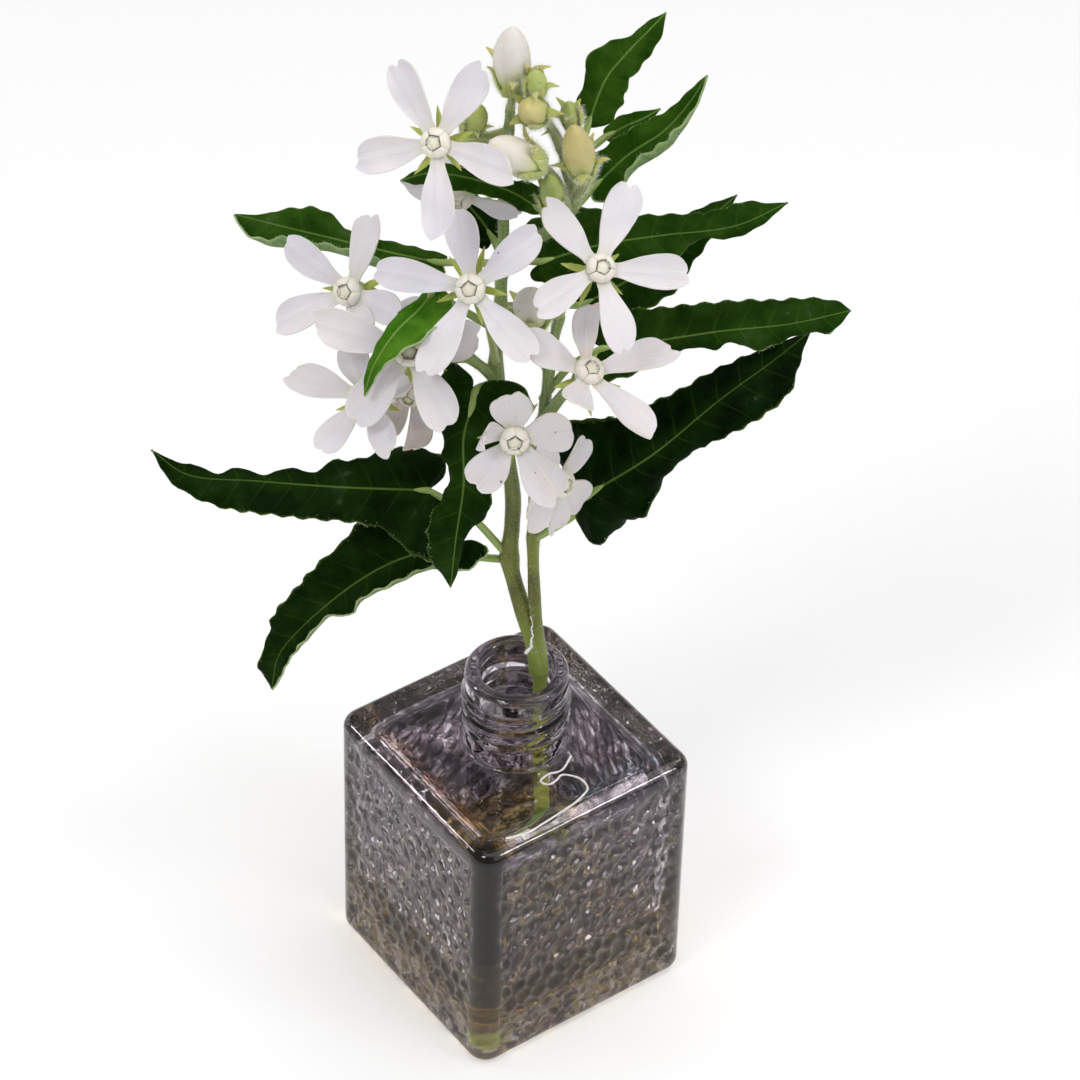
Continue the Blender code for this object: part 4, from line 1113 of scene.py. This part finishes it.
def green_stalk(name, young, old, low_young=None, low_old=None):
    """Stems and stalks: streaked lengthwise, browner in places; low parts may differ."""
    finish = Finish(name)
    streaks = finish.streaks(2.2, 0.09, 4.0, 0.6)
    patches = finish.noise(finish.place, 60.0, 3.0, 0.5)
    fine = finish.noise(finish.place, 2200.0, 2.0)
    colour = streaks.spread().mix(young, old)
    if low_old:
        height = finish.place.split()[2]
        low = paint(patches.ramp(0.40, 0.62).mix(low_old, low_young),
                    (streaks.spread() * 0.5, low_young),
                    (height.fall(0.082, 0.094, 0.6), (0.190, 0.270, 0.040)))
        colour = height.ramp(0.108, 0.142).mix(low, colour)
        colour = height.fall(0.058, 0.072).mix(colour, (0.55, 0.64, 0.06))
    colour = (patches.ramp(0.55, 0.72) * 0.45).mix(colour, (0.13, 0.075, 0.030))
    return finish.set(Base_Color=colour, Roughness=fine.spread(0.42, 0.62),
                      Normal=finish.bump(streaks + fine * 0.3, 0.00012, 0.6))


LEAF_FRONT, LEAF_BACK = leaf_front(), leaf_back()
STALK = green_stalk("leaf_stalk", (0.20, 0.32, 0.06), (0.36, 0.44, 0.14))

# %% Grow the leaves
for seed, (name, entry) in enumerate(LEAVES.items()):
    leaf = build_leaf("grown_" + name, *entry, seed + 11)
    leaf = leaf.done((LEAF_FRONT, LEAF_BACK, STALK), name, "leaf")
    grow_down(leaf, seed, density=2.6e6, length=0.0006)
print("leaves:", len(LEAVES), "hairs:", sum(HAIRS))

# %% [markdown]
# ## Stems
# A stem is not a smooth pipe. It swells where leaves and stalks leave it, bends a little
# there, and is not quite round. So each one is a tube with a radius that depends on the
# place and the side. A stalk starts inside the stem that carries it, so the joint is closed.

# %% Grow the stems
def joints_on(path, radius):
    """Places along a stem where a leaf or a stalk leaves it."""
    starts = [entry[0][0] for entry in (*LEAVES.values(), *STEMS.values())]
    starts += [entry[2] for entry in FLOWERS.values()] + [entry[3] for entry in BUDS.values()]
    gaps = [np.linalg.norm(path - np.array(start, float), axis=1) for start in starts]
    far = travelled(path)
    return [far[gap.argmin()] for gap in gaps if gap.min() < radius + 1.5]


def build_stem(name, seed):
    points, first, last = STEMS[name]
    path = curve(points, int(travelled(curve(points, 60))[-1] / 0.8) + 2)
    far = travelled(path)
    phase = np.random.default_rng(seed).uniform(0, 6, 4)
    radius = first + (last - first) * far / far[-1]
    for place in joints_on(path, first):
        radius = radius + 0.18 * np.exp(-((far - place) / 2.0) ** 2)
    if name == "main_stem":
        radius = radius + 0.22 * np.exp(-((path[:, 2] - 80) / 4.0) ** 2)
    turn = full_turn(16)
    shape = (1 + 0.05 * np.cos(2 * turn + far[:, None] * 0.05 + phase[0])
             + 0.025 * np.cos(5 * turn + phase[1])
             + 0.03 * np.sin(far[:, None] * 0.45 + phase[2]))
    ends = np.minimum(1.0, 0.55 + 0.45 * (far[-1] - far) / 1.2)
    below = np.clip((path[:, 2] - 78.0) / 30.0, 0.0, 1.0)[:, None]
    piece = Piece("grown_" + name)
    piece.tube(path, radius[:, None] * shape * ends[:, None], 0, 16, down=0.15 + 0.85 * below)
    return piece


STEM = green_stalk("stem", (0.150, 0.225, 0.055), (0.270, 0.330, 0.120),
                   (0.082, 0.088, 0.006), (0.190, 0.230, 0.012))
for seed, name in enumerate(STEMS):
    stem = build_stem(name, seed + 40).done((STEM,), name, "stem")
    woolly = name == "bud_cluster_stalk"
    grow_down(stem, seed + 60, density=9.0e6 if woolly else 2.8e6, length=0.0009)
print("stems grown:", len(STEMS), "hairs so far:", sum(HAIRS))

# %% [markdown]
# Where the second stem forks off, a streak of dried white latex lies in the groove between
# the two, with loose fibres in it. A strand of it has dripped in a loop on the bottle's
# shoulder and runs along the edge.

# %% Dried latex
GROOVE = [(0.3, -3.3, 96), (0.5, -3.6, 91.6), (0.5, -3.9, 87.4), (0.3, -3.9, 84), (-0.2, -3.2, 82)]
STRAND = [(5.5, -10.7), (2.5, -12.6), (0.8, -12.8), (-0.8, -12.3), (-3.1, -12.8), (-3.2, -13.9),
          (-2.2, -14.7), (-0.4, -14.4), (0.8, -13.9), (1.9, -14.5), (3.3, -16.7), (3.1, -19.4),
          (1.3, -20.6), (-2.1, -21.6), (-6.0, -22.1), (-10.4, -22.6), (-13.5, -22.8),
          (-17.7, -21.8)]


def latex():
    piece = Piece("latex")
    rng = np.random.default_rng(5)
    groove = curve(GROOVE, 70)
    low = np.linspace(0, 1, 70)
    groove[:, 0] += 0.16 * np.sin(low * 31) + 0.10 * np.sin(low * 67)
    piece.tube(groove, rng.uniform(0.07, 0.17, 70) + 0.24 * low ** 4, 0, 8, down=1.6)
    strand = curve([(x, y, SHOULDER + 0.12) for x, y in STRAND], 160)
    piece.tube(strand, rng.uniform(0.17, 0.24, 160), 0, 8)
    return piece


LATEX = grained("latex", 1500.0, ((0.74, 0.68, 0.66), (0.92, 0.88, 0.87)), (0.35, 0.6))
drops = latex().done((LATEX,), None, "stem")
grow_down(drops, 3, density=3.0e6, length=0.0012, lean=1.4)
print("latex faces:", len(drops.data.polygons))

# %% [markdown]
# ## Flowers
# Each flower is a five-pointed star of thick satin petals. A petal is narrow at its foot,
# widest past its middle, and ends bluntly, often slanted or notched. No two are alike: each
# has its own slant, twist and curl, drawn from a fixed seed. The five feet meet as wedges
# in the middle, under the crown.

# %% One petal
PETAL_WIDTHS = [(0.0, 0.03), (0.09, 1.05), (0.15, 1.30), (0.20, 1.15), (0.32, 1.75),
                (0.46, 2.45), (0.60, 2.90), (0.74, 3.00), (0.86, 2.75), (0.94, 2.20), (1.0, 1.40)]
PETAL_ROWS, PETAL_COLUMNS = 26, 13
PETAL_THICKNESS, MOUTH = 0.30, 2.6


def petal_points(turn, reach, lift, rng, curl, width):
    """A petal in its flower's own axes: right, up and outward, in millimetres."""
    t = 1 - (1 - np.linspace(0, 1, PETAL_ROWS)) ** 1.25
    c = np.linspace(-1, 1, PETAL_COLUMNS)
    half = np.interp(t, *zip(*PETAL_WIDTHS)) * width
    half = np.convolve(np.pad(half, 1, mode="edge"), (0.2, 0.6, 0.2), mode="valid")
    half[0] = 0.03
    skew, twist, bow, cup = rng.uniform(-1, 1, 4) * (1.0, 0.24, 0.9, 0.5)
    notch = rng.uniform(0.1, 1.0)
    phase = rng.uniform(0, 6, 2)
    blunt = (t ** 6)[:, None]
    along = (t * reach)[:, None] + skew * c * t[:, None] ** 3
    along = along - notch * blunt * np.exp(-((c - 0.25 * skew) / 0.35) ** 2)
    along = along - 0.25 * blunt * c ** 2
    across = half[:, None] * c + bow * (t ** 2)[:, None]
    fine = np.linspace(0, 1.15, 60)
    rise = radians(lift) - 0.13 * fine + radians(curl) * np.clip(fine - 0.35, 0, 1) ** 1.5 * 1.9
    rise = rise * np.clip(fine / (MOUTH / reach), 0, 1)
    out, up = (np.interp(along / reach, fine, np.cumsum(step) * fine[1] * reach)
               for step in (np.cos(rise), np.sin(rise)))
    flare = np.clip(t / 0.4, 0, 1)[:, None]
    up = up + flare * (0.28 * half[:, None] * c ** 2 * (0.6 + cup)
                       + twist * across
                       + 0.16 * np.sin(along * 0.9 + phase[0]) * c
                       + 0.10 * np.sin(along * 0.55 + phase[1]))
    up = up + 0.16 * np.exp(-(across / 0.5) ** 2) * flare
    a = radians(turn)
    local = np.stack([out * cos(a) - across * sin(a), out * sin(a) + across * cos(a), up], axis=-1)
    return local, across - bow * (t ** 2)[:, None], along


# %% Odd petals, by flower and petal: curl in degrees, width, and how faded it is
ODD_PETALS = {
    ("flower_right_low", 0): (95, 0.8, 0.45), ("flower_right_low", 2): (45, 1.0, 0.15),
    ("flower_right_low", 1): (0, 1.0, 0.10),
    ("flower_fading", 0): (60, 0.95, 0.40), ("flower_fading", 1): (150, 1.15, 0.5),
    ("flower_fading", 2): (120, 0.9, 0.5), ("flower_fading", 3): (95, 1.0, 0.6),
    ("flower_fading", 4): (75, 1.0, 0.4), ("flower_low", 0): (110, 0.9, 0.2),
    ("flower_left", 2): (15, 1.25, 0.0), ("flower_left_low", 4): (10, 1.2, 0.0),
    ("flower_upper_behind", 0): (-40, 0.9, 0.0), ("flower_upper_behind", 4): (-40, 0.9, 0.0),
}
# The other petals of four flowers are wider than usual, or a little creamier.
HABITS = {"flower_low": (1.22, 0.25), "flower_low_behind": (1.12, 0.2),
          "flower_under_leaf": (1.15, 0.1), "flower_right_low": (1.0, 0.2)}


class Flower:
    """Where a flower is and which way it faces."""

    def __init__(self, name, entry):
        self.name = name
        centre, (compass, height), self.start, self.petals = entry
        self.centre = np.array(centre)
        a, e = radians(compass), radians(height)
        self.outward = np.array([cos(a) * cos(e), sin(a) * cos(e), sin(e)])
        self.right = unit(np.cross((0, 0, 1), self.outward))
        self.up = np.cross(self.outward, self.right)

    def way(self, degrees):
        return self.right * cos(radians(degrees)) + self.up * sin(radians(degrees))

    def piece(self, part):
        return Piece("grown_" + self.name + "_" + part)


def build_corolla(flower, seed):
    piece = flower.piece("corolla")
    usual = (0, *HABITS.get(flower.name, (1.0, 0.0)))
    edge = np.abs(np.linspace(-1, 1, PETAL_COLUMNS))[::-1]
    for k, petal in enumerate(flower.petals):
        curl, width, fade = ODD_PETALS.get((flower.name, k), usual)
        rng = np.random.default_rng(seed * 7 + k)
        local, across, along = petal_points(*petal, rng, curl, width)
        points = flower.centre + local @ np.stack([flower.right, flower.up, flower.outward])
        piece.sheet(points[:, ::-1], across[:, ::-1], along[:, ::-1], PETAL_THICKNESS,
                    slots=(0, 0), edge=edge, tone=fade)
    foot = [flower.centre - flower.outward * h for h in (0.1, 0.9, 1.8, 2.6)]
    piece.tube(foot, (2.1, 1.9, 1.7, 1.4), 0, 20)
    return piece


# %% [markdown]
# The crown in the middle is five fleshy scales that stand up and lean together round the
# head of the pistil. They are cream, and green shows in the slits between them.

# %% The crown
SCALE = [(1.3, -0.1), (1.75, 0.3), (1.95, 0.85), (1.85, 1.35), (1.55, 1.68), (1.22, 1.82),
         (0.92, 1.78)]


def build_corona(flower, seed):
    rng = np.random.default_rng(seed)
    piece = flower.piece("corona")
    small = 0.8 if flower.name == "flower_fading" else 1.0
    first = flower.petals[0][0] + 36
    t = np.linspace(0, 1, 17)
    wide = small * np.interp(t, (0, 0.15, 0.40, 0.62, 0.80, 0.93, 1),
                             (1.1, 1.42, 1.52, 1.40, 1.12, 0.82, 0.25))
    for k in range(5):
        way = flower.way(first + 72 * k + rng.uniform(-4, 4))
        path = curve([flower.centre + (way * r + flower.outward * h) * small for r, h in SCALE],
                     17)
        piece.tube(path, wide, 0, 14, flat=0.46, face=way, tone=t[:, None])
    heights = np.array([0.0, 0.9, 1.4, 1.7, 1.86, 1.92]) * small
    star = 1 - 0.08 * np.cos(5 * (full_turn(30) - radians(first)))
    widths = np.array([1.5, 1.5, 1.35, 1.1, 0.70, 0.10])[:, None] * small
    piece.tube([flower.centre + flower.outward * h for h in heights], widths * star, 1, 30)
    return piece


# %% [markdown]
# Behind the petals sit five narrow green sepals, whose points show between the petals, and a
# woolly stalk that runs back into the stem.

# %% Calyx and stalk
def stalk_path(start, end, outward, count):
    """A stalk that leaves its stem upwards and meets the flower from behind."""
    start, end = np.array(start, float), np.array(end, float)
    reach = np.linalg.norm(end - start)
    first = start + (end - start) * 0.3 + np.array((0, 0, 1)) * reach * 0.08
    second = end - outward * min(reach * 0.35, 6.0)
    t = np.linspace(0, 1, count)[:, None]
    s = 1 - t
    return start * s ** 3 + first * 3 * s * s * t + second * 3 * s * t * t + end * t ** 3


def build_calyx(flower, seed):
    rng = np.random.default_rng(seed)
    piece = flower.piece("calyx")
    outward = flower.outward
    cup = flower.centre - outward * 2.9
    t = np.linspace(0, 1, 14)
    wide = 0.72 * np.interp(t, (0, 0.25, 0.6, 0.9, 1), (0.75, 1.0, 0.75, 0.28, 0.06))
    for turn, _, _ in flower.petals:
        way = flower.way(turn + 36 + rng.uniform(-5, 5))
        length, bend = rng.uniform(4.6, 6.6), rng.uniform(-0.3, 0.6)
        out, lift = (np.cumsum(step(bend * t ** 1.2)) * length / 14 for step in (np.cos, np.sin))
        path = cup + way * 1.0 + way * out[:, None] + outward * lift[:, None]
        piece.tube(path, wide, 0, 8, flat=0.28, face=outward, tone=t[:, None], down=1.0)
    path = stalk_path(flower.start, cup - outward * 1.4, outward, 40)
    path = np.concatenate([path, [cup - outward * 0.7, cup, cup + outward * 0.4]])
    t = np.linspace(0, 1, 40)
    radii = list(0.72 + 0.25 * np.exp(-t / 0.05) + 0.45 * t ** 5) + [1.55, 1.75, 1.5]
    piece.tube(path, radii, 1, 12, down=1.0)
    return piece


# %% Flower finishes
def petal_finish():
    finish = Finish("petal")
    place, along = finish.place, finish.measure[1]
    tone = finish.attribute("tone")
    streaks = finish.streaks(3.2, 0.10, 5.0, 0.65, tone)
    # Small brown specks of the petal's own colour.
    specks_and_painted_shade = finish.noise(place, 900.0, 2.0, 0.4).ramp(0.765, 0.795)
    blush = finish.noise(place, 55.0, 3.0).ramp(0.4, 0.62)
    stain = tone * finish.noise(place, 260.0, 4.0, 0.6).ramp(0.30, 0.62)
    colour = paint(blush.mix((0.665, 0.650, 0.695), (0.700, 0.672, 0.685)),
                   (streaks.ramp(0.46, 0.70) * 0.22, (0.54, 0.51, 0.56)),
                   (along.fall(1.5, 5.0, 0.40), (0.60, 0.63, 0.42)),
                   (stain, streaks.spread().mix((0.72, 0.65, 0.55), (0.58, 0.45, 0.33))),
                   (specks_and_painted_shade * 0.8, (0.16, 0.09, 0.06)))
    return finish.set(Base_Color=colour, Roughness=streaks.spread(0.34, 0.50),
                      Subsurface_Weight=0.25, Subsurface_Scale=0.0006, Sheen_Weight=0.15,
                      Normal=finish.bump(streaks, 0.00022, 0.6))


def sepal_finish():
    finish = Finish("sepal")
    streaks = finish.streaks(2.0, 0.2, 3.0)
    young = streaks.mix((0.30, 0.38, 0.05), (0.50, 0.54, 0.12))
    tip = finish.measure[1].ramp(4.0, 6.5)
    return finish.set(Base_Color=tip.mix(young, (0.46, 0.42, 0.12)),
                      Roughness=streaks.spread(0.45, 0.65))


# %% [markdown]
# One flower lies under a bright leaf, so its plain solid is petals and stalk in one, and the
# fading flower's plain solid has no crown. Here both are grown like the rest.

# %% Grow the flowers
PETAL, SEPAL = petal_finish(), sepal_finish()
CORONA = grained("corona", 700.0, ((0.70, 0.66, 0.56), (0.78, 0.74, 0.66)), (0.32, 0.48),
                 (0.0, 1.0, 0.6), (0.62, 0.62, 0.36), Subsurface_Weight=0.25,
                 Subsurface_Scale=0.0006)
HEAD = grained("corona_head", 900.0, ((0.68, 0.65, 0.50), (0.76, 0.73, 0.62)), (0.35, 0.5),
               (1.35, 1.65), (0.45, 0.48, 0.17))
PEDICEL = green_stalk("pedicel", (0.26, 0.34, 0.08), (0.44, 0.48, 0.20))
for seed, (name, entry) in enumerate(FLOWERS.items()):
    flower = Flower(name, entry)
    whole = name == "flower_under_leaf"
    crownless = whole or name == "flower_fading"
    petals = build_corolla(flower, seed + 90)
    petals.done((PETAL,), name if whole else name + "_corolla", "petal")
    crown = build_corona(flower, seed + 5)
    crown.done((CORONA, HEAD), None if crownless else name + "_corona", "corona")
    calyx = build_calyx(flower, seed + 30)
    calyx = calyx.done((SEPAL, PEDICEL), None if whole else name + "_calyx", "calyx")
    grow_down(calyx, seed + 80, density=2.4e6, length=0.0008)
print("flowers:", len(FLOWERS), "hairs so far:", sum(HAIRS))

# %% [markdown]
# ## Buds
# A bud is a flower still rolled up: an egg with a point, whose five petals overlap in a
# slight spiral. Young ones are small and green; ripe ones swell and turn cream, then white.
# Narrow sepals clasp the base and curl away, and small bracts stand on the stalk. All of it
# is woolly.

# %% One bud
BUD_RADII = [(0.0, 0.52), (0.10, 0.78), (0.25, 0.95), (0.42, 1.0), (0.60, 0.95), (0.76, 0.78),
             (0.88, 0.55), (0.95, 0.34), (0.985, 0.20), (1.0, 0.05)]


def bud_radius(t):
    """The bud's radius at a share of its length, with the table's corners rounded off."""
    places, values = zip(*BUD_RADII)
    return sum(np.interp(np.clip(t + d, 0, 1), places, values) for d in (-0.03, 0.0, 0.03)) / 3


def build_bud(name, entry, seed):
    base, tip, radius, start, ripe = entry
    base, tip = np.array(base, float), np.array(tip, float)
    length = np.linalg.norm(tip - base)
    outward = unit(tip - base)
    rng = np.random.default_rng(seed)
    piece = Piece("grown_" + name)
    t = 0.5 - 0.5 * np.cos(np.linspace(0, pi, 30))
    lean = unit(np.cross(outward, rng.uniform(-1, 1, 3)))
    path = base + outward * (t * length)[:, None] + lean * (0.25 * np.sin(pi * t))[:, None]
    spiral = (5 * (full_turn(40) + 0.9 * t[:, None]) / (2 * pi)) % 1.0
    overlap = np.minimum(spiral, 1 - spiral)
    seam = 0.035 * (spiral - 0.5) - 0.02 * np.exp(-(overlap / 0.09) ** 2)
    depth = np.clip(t / 0.35, 0, 1)[:, None]
    widths = radius * bud_radius(t)
    piece.tube(path, widths[:, None] * (1 + seam * depth), 0, 40, tone=ripe,
               edge=overlap * 2, down=0.06)
    add_bud_sepals(piece, base, outward, frames(path), length, radius, rng)
    stalk = stalk_path(start, base - outward * 0.9, outward, 30)
    stalk = np.concatenate([stalk, [base - outward * 0.3, base + outward * 0.3]])
    i = np.arange(30)
    widths = list(0.70 + 0.2 * np.exp(-i / 2.0) + 0.35 * (i / 29) ** 4)
    piece.tube(stalk, widths + [radius * 0.50, radius * 0.74], 2, 12, down=1.1)
    for place in (12, 20):
        way = unit(np.cross(outward, rng.uniform(-1, 1, 3)))
        line = (stalk[place] + outward * (SHARE * 2.4 - 0.8 * HOOK)[:, None]
                + way * (0.3 + 0.4 * SHARE + 1.1 * HOOK ** 1.6)[:, None])
        piece.tube(line, 0.55 * (1 - 0.9 * SHARE), 1, 8, flat=0.3, face=way, down=1.0)
    return piece


# %% Hooked sepals round a bud
SHARE = np.linspace(0, 1, 16)
HOOK = np.clip(SHARE - 0.55, 0, 1) / 0.45


def add_bud_sepals(piece, base, outward, axes, length, radius, rng):
    """Five narrow sepals that hug the bud and curl away at their tips."""
    for k in range(5):
        angle = 2 * pi * (k + rng.uniform(-0.1, 0.1)) / 5
        way = axes[1][0] * cos(angle) + axes[2][0] * sin(angle)
        reach = rng.uniform(5.5, 8.5) * (0.75 + 0.25 * radius / 3.3)
        places = (SHARE * reach - 0.6 - 0.9 * HOOK ** 2) / length
        hug = radius * bud_radius(np.clip(places, 0, 1)) + 0.12
        hug = np.maximum(hug, 0.25 + 0.5 * SHARE) + rng.uniform(0.9, 3.4) * HOOK ** 1.7
        line = base + outward * (places * length)[:, None] + way * hug[:, None]
        sway = 0.30 * SHARE * np.sin(SHARE * 4.5 + rng.uniform(0, 6))
        line = line + np.cross(outward, way) * sway[:, None]
        wide = (0.50 + radius * 0.42) * np.interp(SHARE, (0, 0.25, 0.6, 0.85, 1),
                                                  (1.0, 1.0, 0.62, 0.32, 0.06))
        piece.tube(line, wide, 1, 8, flat=0.26, face=way, down=1.0)


def bud_finish():
    finish = Finish("bud")
    tone, edge = finish.attribute("tone"), finish.attribute("edge")
    grain = finish.noise(finish.place, 500.0, 4.0)
    freckles = finish.noise(finish.place, 900.0, 1.0).ramp(0.70, 0.75)
    ripe = tone.ramp(0.55, 1.0).mix(grain.mix((0.44, 0.38, 0.10), (0.60, 0.52, 0.24)),
                                    grain.mix((0.68, 0.63, 0.57), (0.76, 0.72, 0.70)))
    colour = paint(grain.mix((0.26, 0.36, 0.08), (0.42, 0.48, 0.14)),
                   (tone.ramp(0.05, 0.5), ripe),
                   (finish.measure[1].fall(0.8, 7.5), (0.50, 0.56, 0.20)),
                   (edge.fall(0.0, 0.2, 0.16), (0.40, 0.42, 0.22)),
                   (freckles * 0.5, (0.30, 0.20, 0.08)))
    return finish.set(Base_Color=colour, Roughness=grain.spread(0.40, 0.58),
                      Subsurface_Weight=0.2, Subsurface_Scale=0.0006,
                      Normal=finish.bump(grain, 0.0001, 0.5))


# %% Grow the buds
BUD = bud_finish()
for seed, (name, entry) in enumerate(BUDS.items()):
    bud = build_bud(name, entry, seed + 15).done((BUD, SEPAL, PEDICEL), name, "bud")
    grow_down(bud, seed + 120, density=1.15e7, length=0.0009, radius=0.000026)
print("buds:", len(BUDS), "hairs in all:", sum(HAIRS))

# %% [markdown]
# ## Floor and light
# A pale floor curves up into a pale wall far behind, so that there is no horizon. Soft lamps
# stand round the bottle: small bright ones give the thin shine along glass edges and wet
# leaves, and large ones fill.

# %% Floor, sky and lamps
def floor_and_wall():
    bm = bmesh.new()
    loops = []
    for y, z in ((-3.0, 0.0), (2.0, 0.0), (2.6, 0.12), (2.9, 0.6), (3.0, 3.0)):
        loops.append([bm.verts.new((x, y, z)) for x in (-4.0, 4.0)])
    for near, far in zip(loops, loops[1:]):
        bm.faces.new((near[0], near[1], far[1], far[0]))
    thing = to_object("pale_floor", bm, closed=False)
    thing.rotation_euler = (0.0, 0.0, radians(CAMERA_AZIMUTH))
    finish = Finish("pale_paper")
    grain = finish.noise(finish.place, 400.0)
    thing.data.materials.append(finish.set(
        Base_Color=grain.mix((0.94, 0.94, 0.94), (0.96, 0.96, 0.96)), Roughness=0.9))
    return thing


# Each lamp's azimuth and height in degrees, its distance and size in metres, and its power.
LAMPS = {"key": (-75, 50, 1.0, 0.22, 2.6), "left_edge": (-132, 26.6, 1.0, 0.12, 1.2),
         "right_edge": (34, 36.8, 1.0, 0.12, 1.2), "overhead": (60, 80, 1.2, 1.4, 9.0),
         "fill": (15, 30, 1.6, 1.0, 3.6)}
floor_and_wall()
for name, (azimuth, height, distance, size, power) in LAMPS.items():
    lamp = bpy.data.lights.new(name, "AREA")
    lamp.size, lamp.energy = size, power
    stand(name, lamp, Vector((0.0, 0.0, 0.10)), direction(azimuth, height), distance)

world = bpy.data.worlds.new("studio")
world.use_nodes = True
sky = world.node_tree.nodes["Background"].inputs
sky["Color"].default_value = (1.0, 1.0, 1.0, 1.0)
sky["Strength"].default_value = 0.38
bpy.context.scene.world = world
bpy.context.scene.view_settings.view_transform = "Standard"
print("lamps:", list(LAMPS))
